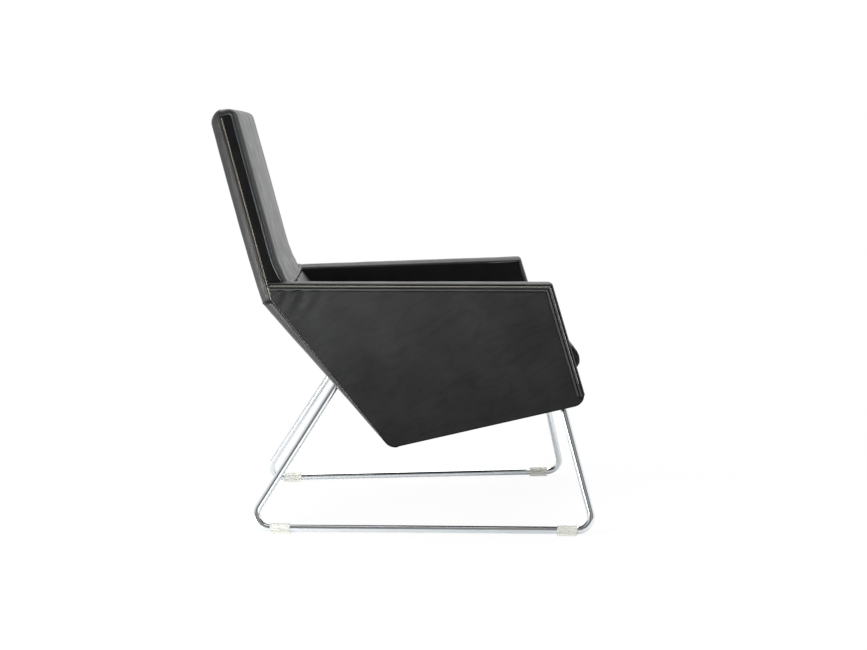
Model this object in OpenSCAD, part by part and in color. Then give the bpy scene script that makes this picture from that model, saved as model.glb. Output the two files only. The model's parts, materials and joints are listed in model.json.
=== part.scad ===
// Lounge chair: a faceted leather body with flat flared arms and a high slim back,
// carried by two bent steel rods that stand on the floor as sled runners.
// Millimetres, Z up. The chair faces -Y, and the middle of its base is the origin.

/* [Arms] */
// Height of the arm top at its front corner
arm_front_h = 558; // [500:1:620]
// How much lower the arm top is where it meets the back
arm_drop = 9; // [0:1:25]
// Length of the arm top, front corner to back
arm_run = 605; // [560:1:650]
// Outside width across the front corners of the arms
front_w = 768; // [720:1:820]
// Outside width across the body where the arms meet the back
rear_w = 492; // [470:1:530]
// Lean of the side panels, outwards as they rise, in degrees
side_lean = 9; // [6:0.5:11]
// Thickness of an arm at its front
arm_front_t = 60; // [52:1:70]
// Thickness of an arm where it meets the back
arm_rear_t = 46; // [42:1:54]

/* [Body outline] */
// Rake of the arm's front edge from upright, in degrees
front_rake = 17.2; // [12:0.2:22]
// Height of the lower front corner of the side
front_corner_h = 304; // [285:1:320]
// Slope of the underside, down to the rear, in degrees
underside_slope = 15.5; // [13:0.5:17]
// Level distance between the lower front and lower rear corners
underside_run = 416; // [395:1:435]
// Radius of the two lower corners of the side
corner_r = 26; // [16:1:32]
// How far below the arm top the side turns from the back's slope
kink_drop = 30; // [20:1:40]

/* [Back] */
// Recline of the back from upright, in degrees
back_recline = 14.8; // [12:0.2:18]
// Length of the back above the arm, along its slope
back_rise = 382; // [340:1:430]
// Width across the back's side seams at the top
back_top_w = 452; // [420:1:470]
// Depth of the back's side strip, from its seam to the front face
back_front_d = 36; // [34:1:44]
// How much narrower each side of the back is at its front face
back_taper = 10; // [4:1:14]
// How far the rear leather swells behind the seam at the kink
bulge_low = 17; // [14:1:20]
// How far the rear leather swells behind the seam at the top
bulge_high = 25; // [20:1:30]
// Radius with which the rear leather rolls to the side seams
rear_roll_r = 25; // [18:1:30]
// Radius with which the front face rolls to the side strips
front_roll_r = 15; // [12:1:16]
// Radius of the top front edge of the back
top_front_r = 20; // [17:1:24]
// Thickness of the slanting lower back, from seam to seat side
low_back_t = 62; // [56:1:70]
// Radius of the bend between the lower and upper back
back_bend_r = 200; // [140:5:260]

/* [Seat] */
// Height of the seat deck at its front edge
deck_front_h = 358; // [350:1:366]
// Slope of the seat deck, down to the rear, in degrees
deck_slope = 12; // [11:0.5:13.5]
// Thickness of the seat cushion at its edges
cushion_t = 92; // [80:1:105]
// Crown of the seat cushion above its edges
cushion_crown = 14; // [8:1:20]
// How far the cushion's nose stands ahead of the arms
nose_proud = 18; // [10:1:26]
// Height of the nose's foremost line above the deck
nose_h = 22; // [18:1:30]
// Radius of the cushion's sewn edges
cushion_edge_r = 11; // [8:1:14]
// How far the cushion's sides draw in between its corners
draw_in = 5; // [2:1:8]

/* [Sled base] */
// Diameter of the bent rods
rod_d = 16; // [14:1:18]
// Bend radius of the rods, to the middle of the rod
rod_bend_r = 30; // [26:1:34]
// Distance of the front foot corner ahead of the arms' front corners
foot_ahead = 107.5; // [95:0.5:120]
// Length of a runner between its two corners
runner_run = 764; // [740:1:790]
// Width between the runners' middles at the front corners
foot_front_w = 613; // [580:1:640]
// Width between the runners' middles at the rear corners
foot_rear_w = 508; // [480:1:540]
// How far inboard of the side a front leg enters the underside
leg_front_set = 116; // [100:0.5:150]
// How far inboard of the side a rear leg enters the lower rear
leg_rear_set = 44.5; // [43:0.5:60]
// Front leg behind the front corner, along the underside
front_leg_in = 43; // [35:0.5:51]
// Rear leg above the lower rear corner, along the slanting rear
rear_leg_up = 181.5; // [171:0.5:192]

/* [Glides] */
// Length of a floor glide
glide_l = 43; // [36:1:48]
// Thickness of a glide's sole under the rod
glide_sole = 3; // [2:0.5:5]
// Thickness of a glide's wall round the rod
glide_wall = 2.2; // [1.6:0.2:3]
// Diameter of the pin that holds a glide
pin_d = 3; // [2.5:0.5:4]

/* [Carcass] */
// Thickness of the plywood side panels
core_t = 18; // [15:1:21]
// Thickness of the rails across the body
rail_t = 20; // [18:1:24]
// Thickness of the back's uprights, front to rear
stile_t = 22; // [18:1:24]
// Width of the back's uprights
stile_w = 30; // [26:1:36]
// Thickness of the leather
leather = 2; // [1.5:0.5:3]
// Foam between the leather and the plywood sides
side_foam_t = 6; // [4:1:8]
// Thickness of the welded steel plates
plate_t = 5; // [4:0.5:6]
// Thickness of the elastic straps
strap_t = 2; // [1.5:0.5:3]
// Width of the elastic straps
strap_w = 50; // [40:1:60]
// Thickness of the cloth over the seat straps
cloth_t = 1.5; // [1:0.5:2]

/* [Fasteners] */
// Diameter of the machine screws through the steel plates
bolt_d = 8; // [6:1:8]
// Diameter of the wood screws through the sides
screw_d = 5; // [4:0.5:6]
// Length of the wood screws
screw_l = 45; // [38:1:48]

/* [Hidden] */

// Colours
c_leather = "#2b2b2c";
c_leather_dark = "#222223";
c_chrome = "#c9cdd2";
c_clear = "#dfe3de";
c_steel = "#9a9da0";
c_ply = "#c9a875";
c_foam = "#e6dfb8";
c_web = "#4a4a48";
c_cloth = "#35353a";

// Small sizes that go with a piece
seat_gap = 0.3;
cushion_gap = 1.5;
cushion_rear_gap = 3;
strip_w = 12;
strip_proud = 2.4;
front_strip_t = 16;
apron_inset = 6;
front_rail_in = 20;
under_inset = 7;
under_cloth_t = 1.5;
panel_t = 3;
seat_rail_h = 24;
front_beam_l = 96;
front_plate_back = 8;
rear_plate_in = 8;
rear_rail_l = 104;
top_rail_h = 50;
seat_back_rail_h = 52;
board_side = 17;
board_low = 10;
long_pitch = 75;
cross_first = 60;
cross_pitch = 90;
back_strap_low = 60;
back_strap_pitch = 80;
plate_l = 70;
plate_w = 46;
plate_corner_r = 5;
bolt_pitch = 50;
bolt_clear = 0.25;
bolt_l = 24;
bolt_head_d = 15;
bolt_head_h = 3.5;
nut_d = 11;
nut_flange_d = 20;
nut_flange_t = 1.5;
nut_l = 9;
screw_head_d = 9;
screw_head_h = 4;
screw_clear = 0.1;
screw_sink = 1.5;
pin_in_rod = 4;
pin_clear = 0.02;
leg_hole_gap = 0.6;
rod_overrun = 60;
bend_thin = 0.05;
bend_lap = 1;
glide_gap = 1;
step_gap = 0.1;
nose_back = 58;
nose_under = 16;
zip_l = 300;
zip_w = 12;
zip_t = 1.4;
zip_slider_l = 9;
zip_slider_t = 1;
crown_back = 4;
cut = 1;
arc_n = 4;
round_faces = 48;

// Slopes and directions in the side view, as [y, z]
lean_k = tan(side_lean);
up = [sin(back_recline), cos(back_recline)];
aft = [cos(back_recline), -sin(back_recline)];
down_front = [-tan(front_rake), -1];

// Corners of the side, with the arm's front corner at y = 0
B = [0, arm_front_h];
A = B + [arm_run, -arm_drop];
C = B + (arm_front_h - front_corner_h) * down_front;
D = C + underside_run * [1, -tan(underside_slope)];
E = A - kink_drop * up;
rear_dir = (E - D) / norm(E - D);
rear_in = [-rear_dir[1], rear_dir[0]];
rear_angle = atan2(rear_dir[1], rear_dir[0]);
deck_o = B + (arm_front_h - deck_front_h) * down_front;
deck_dir = [cos(deck_slope), -sin(deck_slope)];
deck_up = [sin(deck_slope), cos(deck_slope)];

function on_back(s, d) = A + s * up + d * aft;
function on_deck(q, h) = deck_o + q * deck_dir + h * deck_up;
function meet(p, u, q, v) =
  p + u * ((q[0] - p[0]) * v[1] - (q[1] - p[1]) * v[0]) / (u[0] * v[1] - u[1] * v[0]);

// Points of a round corner at b, between straight runs from a and to c
function fillet(a, b, c, r, n = 8) =
  let (u = (a - b) / norm(a - b), v = (c - b) / norm(c - b))
  let (half = acos(u * v) / 2, m = b + (u + v) / norm(u + v) * r / sin(half))
  let (p = b + u * r / tan(half) - m, q = b + v * r / tan(half) - m)
  let (turn = sign(p[0] * q[1] - p[1] * q[0]) * (180 - 2 * half), start = atan2(p[1], p[0]))
  [for (i = [0 : n]) m + r * [cos(start + turn * i / n), sin(start + turn * i / n)]];

side_outline = concat([A, B], fillet(B, C, D, corner_r), fillet(C, D, E, corner_r), [E]);

// Planes of the arms: flare in plan and lean as they rise
in_front_w = front_w / 2 - arm_front_t;
in_rear_w = rear_w / 2 - arm_rear_t;
function flare(xb, xa) = (xb - xa - lean_k * arm_drop) / arm_run;
function plane_x(xb, xa, p) = xb - flare(xb, xa) * (p[0] - B[0]) + lean_k * (p[1] - B[1]);
function outer_x(p) = plane_x(front_w / 2, rear_w / 2, p);
function inner_x(p) = plane_x(in_front_w, in_rear_w, p);
core_in = leather + side_foam_t;
core_out = core_in + core_t;

// Planes of the back's sides
back_slant = (rear_w / 2 - back_top_w / 2) / back_rise;
back_side_k = back_taper / back_front_d;
function back_x(s, d) = rear_w / 2 - back_slant * s + back_side_k * min(d, 0);

// Base: the rod's path, the legs' entries and the height of the rod's middle
rod_r = rod_d / 2;
rod_z = glide_sole + rod_r;
foot_f = [foot_front_w / 2, -foot_ahead, rod_z];
foot_r = [foot_rear_w / 2, runner_run - foot_ahead, rod_z];
entry_f = C + front_leg_in * (D - C) / norm(D - C);
entry_r = D + rear_leg_up * (E - D) / norm(E - D);
leg_f = [outer_x(entry_f) - leg_front_set, entry_f[0], entry_f[1]];
leg_r = [outer_x(entry_r) - leg_rear_set, entry_r[0], entry_r[1]];
function past(p, q, d) = q + (q - p) / norm(q - p) * d;
top_f = past(foot_f, leg_f, rod_overrun);
top_r = past(foot_r, leg_r, rod_overrun);

// Carcass planes, as insets from the side's outline
rear_inset = plate_t + seat_gap;
carcass_front = stile_t - core_in;
big = 2 * (front_w + arm_front_h + back_rise);

// Profile of the inner back: lower run up to the arm top, bend, upper run, top corner, top edge
arm_dir = (A - B) / norm(A - B);
arm_in = [arm_dir[1], -arm_dir[0]];
arm_row = 4;
function back_path(inset, low_t, bend_r) =
  let (f = inset - back_front_d, top = back_rise - inset, r = max(top_front_r - inset, seat_gap))
  let (low = D + (low_t - inset) * rear_in, base = on_back(0, f))
  let (x = meet(low, rear_dir, base, up), start = meet(low, rear_dir, deck_o, deck_dir))
  let (arm_low = meet(low, rear_dir, B - step_gap * arm_in, arm_dir))
  let (arm_high = meet(low, rear_dir, B - 5 * step_gap * arm_in, arm_dir))
  let (tip = on_back(top, f), bend = fillet(start, x, tip, bend_r + inset, 6), last = bend[6])
  concat([for (i = [0 : arm_row]) mix(start, arm_low, i / arm_row)], [arm_high], bend,
    [for (i = [1 : 4]) mix(last, on_back(top - r, f), i / 5)],
    fillet(last, tip, on_back(top, 0), r, 4), [on_back(top, -carcass_front / 2), on_back(top, 0)]);

// Columns across a padded face: rolled edges and an even middle
mid_n = 8;
cols = 2 * arc_n + mid_n;
function col_crown(j) = col_side(j) == 0 ? crown_back * (1 - pow(2 * (j - arc_n) / mid_n - 1, 2)) : 0;
function col_side(j) = j < arc_n ? -1 : j > arc_n + mid_n ? 1 : 0;
function col_angle(j) = 90 * (j < arc_n ? j : cols - j) / arc_n;
function col_x(j, w, r) =
  col_side(j) == 0 ? (w - r) * (2 * (j - arc_n) / mid_n - 1)
  : col_side(j) * (w - r * (1 - cos(col_angle(j))));
function col_rise(j) = col_side(j) == 0 ? 1 : sin(col_angle(j));

// A value part of the way from a to b
function mix(a, b, t) = a + (b - a) * t;

// Triangles between two rows of points
function strip_faces(a, b, n, flip = false) =
  [for (i = [0 : n - 2]) each flip
    ? [[a + i, a + i + 1, b + i + 1], [a + i, b + i + 1, b + i]]
    : [[a + i, b + i + 1, a + i + 1], [a + i, b + i, b + i + 1]]];

// A closed sheet between two grids of points with the same rows and columns
module sheet(front, rear) {
  m = len(front);
  n = len(front[0]);
  k = m * n;
  points = concat([for (row = front) each row], [for (row = rear) each row]);
  left = [for (i = [0 : m - 1]) i * n];
  right = [for (i = [0 : m - 1]) i * n + n - 1];
  faces = concat(
    [for (i = [0 : m - 2]) each strip_faces(i * n, (i + 1) * n, n)],
    [for (i = [0 : m - 2]) each strip_faces(k + i * n, k + (i + 1) * n, n, true)],
    strip_faces(0, k, n, true),
    strip_faces((m - 1) * n, k + (m - 1) * n, n),
    [for (i = [0 : m - 2]) each [[left[i], left[i] + k, left[i + 1] + k],
      [left[i], left[i + 1] + k, left[i + 1]]]],
    [for (i = [0 : m - 2]) each [[right[i], right[i + 1] + k, right[i] + k],
      [right[i], right[i + 1], right[i + 1] + k]]]);
  polyhedron(points, faces);
}

// A closed body through rings of points, with a fan over each end
module loft(rings) {
  m = len(rings);
  n = len(rings[0]);
  function centre(ring) = [for (a = [0 : 2]) [for (p = ring) p[a]] * [for (p = ring) 1] / n];
  points = concat([for (r = rings) each r], [centre(rings[0]), centre(rings[m - 1])]);
  walls = [for (i = [0 : m - 2]) for (k = [0 : n - 1]) let (e = (k + 1) % n)
    each [[i * n + k, i * n + e, (i + 1) * n + e], [i * n + k, (i + 1) * n + e, (i + 1) * n + k]]];
  caps = [for (k = [0 : n - 1]) let (e = (k + 1) % n)
    each [[m * n, e, k], [m * n + 1, (m - 1) * n + k, (m - 1) * n + e]]];
  polyhedron(points, concat(walls, caps));
}

// Placing: the middle of the chair's depth goes to y = 0
module placed() translate([0, chair_y, 0]) children();
module both() {
  children();
  mirror([1, 0, 0]) children();
}

// A side view outline drawn across the chair, or across its right half only
module across(w = front_w) rotate([90, 0, 90]) translate([0, 0, -w]) linear_extrude(2 * w) children();
module across_right(w = front_w) rotate([90, 0, 90]) linear_extrude(w) children();

// Everything inboard of a side plane that lies at a depth
module inboard(xb, xa, d)
  translate([xb, B[0], B[1]])
    rotate([0, atan(lean_k / sqrt(1 + pow(flare(xb, xa), 2))), atan(flare(xb, xa))])
      translate([-d - big, -big / 2, -big / 2]) cube([big, big, big]);
module in_outer(d) inboard(front_w / 2, rear_w / 2, d);
module in_inner(d) inboard(in_front_w, in_rear_w, d);

// The right side's slice of an outline between two depths under its outer face
module side_slice(d0, d1) {
  difference() {
    intersection() {
      across_right() children();
      in_outer(d0);
    }
    in_outer(d1);
  }
}

// The same, down to a depth outside the arm's inner face
module arm_slice(d0, d1) {
  difference() {
    intersection() {
      across_right() children();
      in_outer(d0);
    }
    in_inner(-d1);
  }
}

// What lies between the two sides
module between_cores() {
  intersection() {
    children();
    in_outer(core_out);
    mirror([1, 0, 0]) in_outer(core_out);
  }
}
module between_arms(gap = 0) {
  intersection() {
    children();
    in_inner(gap);
    mirror([1, 0, 0]) in_inner(gap);
  }
}

// Frames in the side view: y runs along the face, z points as each line says
module front_frame() translate([0, B[0], B[1]]) rotate([90 - front_rake, 0, 0]) children();
module under_frame() translate([0, C[0], C[1]]) rotate([-underside_slope, 0, 0]) children();
module rear_frame() translate([0, D[0], D[1]]) rotate([rear_angle, 0, 0]) children();
module deck_frame() translate([0, deck_o[0], deck_o[1]]) rotate([-deck_slope, 0, 0]) children();
module back_frame() translate([0, A[0], A[1]]) rotate([90 - back_recline, 0, 0]) children();

// Outlines of the side
module outline(inset) offset(delta = -inset) polygon(side_outline);
module above_deck() polygon([on_deck(-big, 0), on_deck(big, 0), on_deck(big, big), on_deck(-big, big)]);
module front_zone(depth) polygon([B, B + big * down_front,
  B + big * down_front + [depth, 0] / cos(front_rake), B + [depth, 0] / cos(front_rake)]);
module upper_zone() polygon([C - [big, 0], C, E, E + [big, 0], E + [big, big], C + [-big, big]]);
module arm_zone() {
  above_deck();
  front_zone(front_strip_t);
}

// Round bar between two points, and how far a corner's bend reaches along its runs
module bar(p, q, r) {
  z = (q - p) / norm(q - p);
  x = cross([0, 0, 1], z) / norm(cross([0, 0, 1], z));
  y = cross(z, x);
  multmatrix([[x[0], y[0], z[0], p[0]], [x[1], y[1], z[1], p[1]], [x[2], y[2], z[2], p[2]]])
    cylinder(h = norm(q - p), r = r, $fn = round_faces);
}
function reach(a, b, c) = rod_bend_r / tan(acos((a - b) * (c - b) / norm(a - b) / norm(c - b)) / 2);
// Leg and bend of a rod at a foot: the bend is a hair thinner and laps into the straight runs
function turned(v, a) = [v[0] * cos(a) + v[1] * sin(a), v[1] * cos(a) - v[0] * sin(a), v[2]];
module leg_and_bend(foot, leg, yaw) {
  v = turned(leg - foot, yaw);
  open = atan2(norm([v[0], v[2]]), v[1]);
  start = rod_bend_r / tan(open / 2);
  translate(foot) rotate([0, 0, yaw]) rotate([0, atan2(v[0], v[2]), 0]) rotate([90, 0, 90]) {
    translate([start, rod_bend_r, 0]) rotate([0, 0, 90 + open - bend_lap])
      rotate_extrude(angle = 180 - open + 2 * bend_lap, $fn = 2 * round_faces)
        translate([rod_bend_r, 0]) circle(r = rod_r - bend_thin, $fn = round_faces);
    rotate([0, 0, open]) translate([start, 0, 0]) rotate([0, 90, 0])
      cylinder(h = norm(leg - foot) + rod_overrun - start, r = rod_r, $fn = round_faces);
  }
}
runner_dir = (foot_r - foot_f) / norm(foot_r - foot_f);
start_f = foot_f + runner_dir * reach(top_f, foot_f, foot_r);
start_r = foot_r - runner_dir * reach(foot_f, foot_r, top_r);

// Where the legs meet the plates, as x and run along the face
front_dir = down_front / norm(down_front);
front_in = [-front_dir[1], front_dir[0]];
under_dir = (D - C) / norm(D - C);
under_in = [-under_dir[1], under_dir[0]];
function at_face(foot, leg, o, along, inward, depth) =
  let (dir = (leg - foot) / norm(leg - foot))
  let (p = leg + dir * (depth - ([leg[1], leg[2]] - o) * inward) / ([dir[1], dir[2]] * inward))
  [p[0], ([p[1], p[2]] - o) * along];
leg_at_f = at_face(foot_f, leg_f, C, under_dir, under_in, under_inset - plate_t);
leg_at_r = at_face(foot_r, leg_r, D, rear_dir, rear_in, rear_inset - plate_t);
runner_angle = atan2(runner_dir[1], runner_dir[0]) - 90;
function glide_at(end) = end == 0
  ? foot_f + runner_dir * (reach(top_f, foot_f, foot_r) + glide_gap + glide_l / 2)
  : foot_r - runner_dir * (reach(foot_f, foot_r, top_r) + glide_gap + glide_l / 2);

// Depths of the carcass behind the pads, and places along the deck and the back
carcass_rear = core_in;
web_z = cloth_t + strap_t;
pad_deep = back_front_d - carcass_front - strap_t;
stile_top = back_rise - pad_deep - seat_gap;
stile_foot = leg_at_r[1] + rear_rail_l / 2 + seat_gap;
face_angle = rear_angle + deck_slope;
q_diagonal = (meet(D, rear_dir, deck_o, deck_dir) - deck_o) * deck_dir;
q_pad = q_diagonal - low_back_t / sin(face_angle);
seat_back_q = q_diagonal - (web_z + seat_back_rail_h) / tan(face_angle) - core_in / sin(face_angle)
  - rail_t;
strap_back = seat_back_q + rail_t;
deck_front_q = front_rail_in / (deck_dir * front_in);
seat_rail_from = deck_front_q + rail_t + cut;
under_len = norm(D - C);
rear_len = norm(E - D);

// Sites of the wood screws in the side view: rails first, then the uprights
function on_under(y, z) = C + y * under_dir + z * under_in;
function on_rear(y, z) = D + y * rear_dir + z * rear_in;
screw_points = concat(
  [B + (front_rail_in + rail_t / 2) * front_in + (norm(deck_o - B) + web_z + seat_rail_h / 2) * front_dir],
  [for (t = [0.3, 0.8]) on_under(front_rail_in + t * front_beam_l, under_inset + rail_t / 2)],
  [for (t = [0.3, 0.75]) on_deck(seat_back_q + rail_t / 2, -web_z - t * seat_back_rail_h)],
  [for (t = [0.11, 0.5, 0.89]) on_rear(leg_at_r[1] + (t - 0.5) * rear_rail_l, rear_inset + rail_t / 2)],
  [for (t = [0.15, 0.5, 0.85]) on_rear(mix(stile_foot, rear_len, t), rear_inset + stile_t / 2)]);

// Grids of the back's front face: rows up the profile, columns across it
function front_w_at(p, i, inset) = i > arm_row
  ? back_x((p - A) * up, (p - A) * aft) - inset
  : inner_x(p) - seat_gap - inset;
edge_path = back_path(front_roll_r, low_back_t, back_bend_r);
function front_rows(inset) = let (r = front_roll_r - inset)
  let (paths = [for (j = [0 : cols]) back_path(front_roll_r - r * col_rise(j) - col_crown(j), low_back_t,
    back_bend_r)])
  [for (i = [0 : len(edge_path) - 1]) [for (j = [0 : cols])
    [col_x(j, front_w_at(edge_path[i], i, inset), r), paths[j][i][0], paths[j][i][1]]]];
pad_path = back_path(pad_deep, rear_inset + stile_t + strap_t + pad_deep, back_bend_r / 5);
function pad_rows() = let (path = pad_path, r = front_roll_r - leather)
  [for (i = [0 : len(path) - 1]) [for (j = [0 : cols])
    [col_x(j, min(front_w_at(edge_path[i], i, leather), front_w_at(path[i], i, leather)), r),
      path[i][0], path[i][1]]]];

// Grids of the outer back, from the kink up and over the top roll
kink_out = (aft - rear_in) / norm(aft - rear_in);
rear_n = 7;
function seam_x(s) = s > 0 ? back_x(s, 0) : outer_x(on_back(s, 0));
function roll_angle(i) = i < rear_n ? 90 : 90 * (rear_n + arc_n - i) / arc_n;
function rear_s(i, j, inset) = i < rear_n ? mix(-kink_drop, back_rise - rear_roll_r, i / rear_n)
  : back_rise - inset - (rear_roll_r - inset) * (1 - cos(roll_angle(i)))
    - max(front_roll_r - inset, 0) * (1 - col_rise(j)) * (i - rear_n) / arc_n;
function rear_depth(i, j, inset) = (mix(bulge_low, bulge_high, min(i / rear_n, 1)) + col_crown(j) - inset)
  * col_rise(j) * sin(roll_angle(i));
function rear_point(i, j, inset, d) = let (s = rear_s(i, j, inset))
  let (t = max(i - rear_n, 0) / arc_n, p = on_back(s, 0) + d * (i == 0 ? kink_out : aft))
  [col_x(j, seam_x(s) - inset, mix(rear_roll_r, front_roll_r, t) - inset), p[0], p[1]];
function rear_rows(inset) = [for (i = [0 : rear_n + arc_n]) [for (j = [0 : cols])
  rear_point(i, j, inset, rear_depth(i, j, inset))]];
foam_rear = carcass_rear + panel_t + seat_gap;
function rear_foam_out() = [for (i = [0 : rear_n + arc_n - 1]) [for (j = [1 : cols - 1])
  rear_point(i, j, leather, rear_depth(i, j, leather))]];
function rear_foam_in() = [for (i = [0 : rear_n + arc_n - 1]) [for (j = [1 : cols - 1])
  rear_point(i, j, leather, min(foam_rear, 0.9 * rear_depth(i, j, leather)))]];

// Depth of the whole chair, from the rods' front bends to the back's rear
front_half_bend = acos((leg_f - foot_f) * runner_dir / norm(leg_f - foot_f)) / 2;
front_bend_y = foot_f[1] + rod_bend_r / tan(front_half_bend) - rod_bend_r - rod_r;
chair_y = -(front_bend_y + max([for (row = rear_rows(0)) for (p = row) p[1]])) / 2;

// Grids of the slanting lower rear, from the underside round the corner up to the kink
low_bend = fillet(C, D, E, corner_r, 6);
low_base = concat(low_bend, [for (i = [1 : 6]) mix(low_bend[6], E, i / 6)]);
function low_angle(i) = mix(-90 - underside_slope, rear_angle - 90, min(i / 6, 1));
function low_out(i) = i == 12 ? kink_out : [cos(low_angle(i)), sin(low_angle(i))];
function low_share(i) = max(i - 6, 0) / 6;
function low_depth(i, j, inset) = (mix(leather + seat_gap, bulge_low, low_share(i))
  + col_crown(j) * low_share(i) - inset) * col_rise(j);
function low_point(i, j, inset, d) = let (p = low_base[i] + d * low_out(i))
  [col_x(j, outer_x(low_base[i]) - inset, rear_roll_r - inset), p[0], p[1]];
function low_rows(inset) = [for (i = [0 : 12]) [for (j = [0 : cols])
  low_point(i, j, inset, low_depth(i, j, inset))]];
function low_foam_out() = [for (i = [7 : 12]) [for (j = [1 : cols - 1])
  low_point(i, j, leather, low_depth(i, j, leather))]];
function low_foam_in() = [for (i = [7 : 12]) [for (j = [1 : cols - 1]) low_point(i, j, leather, 0)]];

// Rings of the seat cushion, each a closed profile of deck run and height above the deck
cushion_rear_q = q_pad - crown_back - cushion_rear_gap;
function cushion_q(h, e) = cushion_rear_q + h / tan(face_angle) - e / sin(face_angle);
function ellipse(q, h, a, b, from, to, n) =
  [for (i = [0 : n]) let (t = mix(from, to, i / n)) [q + a * cos(t), h + b * sin(t)]];
function cushion_profile(e, c) =
  let (top = cushion_t - e, low = seat_gap + e, r = max(cushion_edge_r - e, seat_gap))
  let (nose_q = nose_h * tan(front_rake - deck_slope) - nose_proud)
  let (a = [cushion_q(top, e), top], b = [cushion_q(low, e), low])
  let (m = [nose_q + nose_back, top], n = [nose_q + nose_under, low])
  let (top_bend = fillet(m, a, b, r, 4), low_bend_c = fillet(a, b, n, r, 4))
  let (loop = concat(
    ellipse(nose_q + nose_under, nose_h, nose_under - e, nose_h - low, 270, 180, 4),
    [for (i = [1 : 6]) let (t = 180 - 15 * i)
      [nose_q + nose_back + (nose_back - e) * cos(t), nose_h + (top - nose_h) * sin(t)]],
    [for (i = [1 : 5]) mix(m, top_bend[0], i / 6)], top_bend,
    [for (i = [1 : 2]) mix(top_bend[4], low_bend_c[0], i / 3)], low_bend_c,
    [for (i = [1 : 3]) mix(low_bend_c[4], n, i / 4)]))
  [for (p = loop) [p[0], p[1] + c * cushion_crown * max(0, (p[1] - nose_h) / (top - nose_h))
    * max(0, 1 - pow(2 * (p[0] - nose_q) / (cushion_q(top, 0) - nose_q) - 1, 2))]];
function cushion_w(p, inset) = let (t = min(max(p[0] / cushion_rear_q, 0), 1))
  inner_x(on_deck(p[0], p[1])) - cushion_gap - draw_in * sin(180 * t) - inset;
function cushion_ring(j, inset) = let (r = max(cushion_edge_r - inset, seat_gap))
  let (c = col_side(j) == 0 ? 1 - pow(2 * (j - arc_n) / mid_n - 1, 2) : 0)
  [for (p = cushion_profile(inset + r * (1 - col_rise(j)), c)) let (o = on_deck(p[0], p[1]))
    [col_x(j, cushion_w(p, inset), r), o[0], o[1]]];
function cushion_rings(inset) = [for (j = [0 : cols]) cushion_ring(j, inset)];
zip_at = on_deck(cushion_q(cushion_t / 2, 0), cushion_t / 2);

// Half planes in the side view, and the sides of the back
ahead_knee = meet(on_back(0, -carcass_front - strap_t - seat_gap), up,
  on_rear(0, rear_inset + stile_t + strap_t + seat_gap), rear_dir);
module ahead_of_carcass() polygon([ahead_knee, ahead_knee + big * up, ahead_knee + big * up - [3 * big, 0],
  ahead_knee - big * rear_dir - [3 * big, 0], ahead_knee - big * rear_dir]);
module below_deck(depth) polygon([on_deck(-big, -depth), on_deck(big, -depth), on_deck(big, -2 * big),
  on_deck(-big, -2 * big)]);
module above_under(depth) polygon([on_under(-big, depth), on_under(big, depth), on_under(big, 2 * big),
  on_under(-big, 2 * big)]);
module above_arm() polygon([B - big * arm_dir, B + 2 * big * arm_dir, B + 2 * big * arm_dir - big * arm_in,
  B - big * arm_dir - big * arm_in]);
module in_back(d) back_frame() translate([rear_w / 2, 0, 0])
  rotate([0, -atan(back_side_k / sqrt(1 + pow(back_slant, 2))), atan(back_slant)])
    translate([-d - big, -big / 2, -big / 2]) cube([big, big, big]);
module in_carcass(more = 0) intersection() {
  in_outer(core_out + more);
  in_back(core_in + more);
}
module between_backs(d) intersection() {
  children();
  in_back(d);
  mirror([1, 0, 0]) in_back(d);
}

// Base
module pin_hole(p, gap, more = 0)
  translate(p) rotate([0, 0, runner_angle]) translate([rod_r - pin_in_rod, 0, 0]) rotate([0, 90, 0])
    cylinder(h = pin_in_rod + glide_wall + more, r = pin_d / 2 + gap, $fn = round_faces);

module sled_rod() {
  difference() {
    union() {
      bar(start_f, start_r, rod_r);
      leg_and_bend(foot_f, leg_f, runner_angle);
      leg_and_bend(foot_r, leg_r, runner_angle + 180);
    }
    under_frame() translate([-big / 2, -big / 2, under_inset - plate_t])
      cube([big, big / 2 + underside_run, big]);
    rear_frame() translate([-big / 2, 0, rear_inset - plate_t]) cube([big, big, big]);
    for (end = [0, 1]) pin_hole(glide_at(end), pin_clear, cut);
  }
}
module sled_rod_right() color(c_chrome) placed() sled_rod();
module sled_rod_left() color(c_chrome) placed() mirror([1, 0, 0]) sled_rod();

module glide(end) {
  difference() {
    translate(glide_at(end)) rotate([0, 0, runner_angle]) {
      difference() {
        union() {
          rotate([90, 0, 0]) cylinder(h = glide_l, r = rod_r + glide_wall, center = true, $fn = round_faces);
          translate([-rod_r, -glide_l / 2, -rod_z]) cube([rod_d, glide_l, rod_z]);
        }
        rotate([90, 0, 0])
          cylinder(h = glide_l + 2 * cut, r = rod_r + pin_clear, center = true, $fn = round_faces);
      }
    }
    pin_hole(glide_at(end), pin_clear, cut);
  }
}
module glide_front_right() color(c_clear) placed() glide(0);
module glide_front_left() color(c_clear) placed() mirror([1, 0, 0]) glide(0);
module glide_rear_right() color(c_clear) placed() glide(1);
module glide_rear_left() color(c_clear) placed() mirror([1, 0, 0]) glide(1);
module glide_pins() color(c_steel) placed() both() for (end = [0, 1]) pin_hole(glide_at(end), 0);

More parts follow.
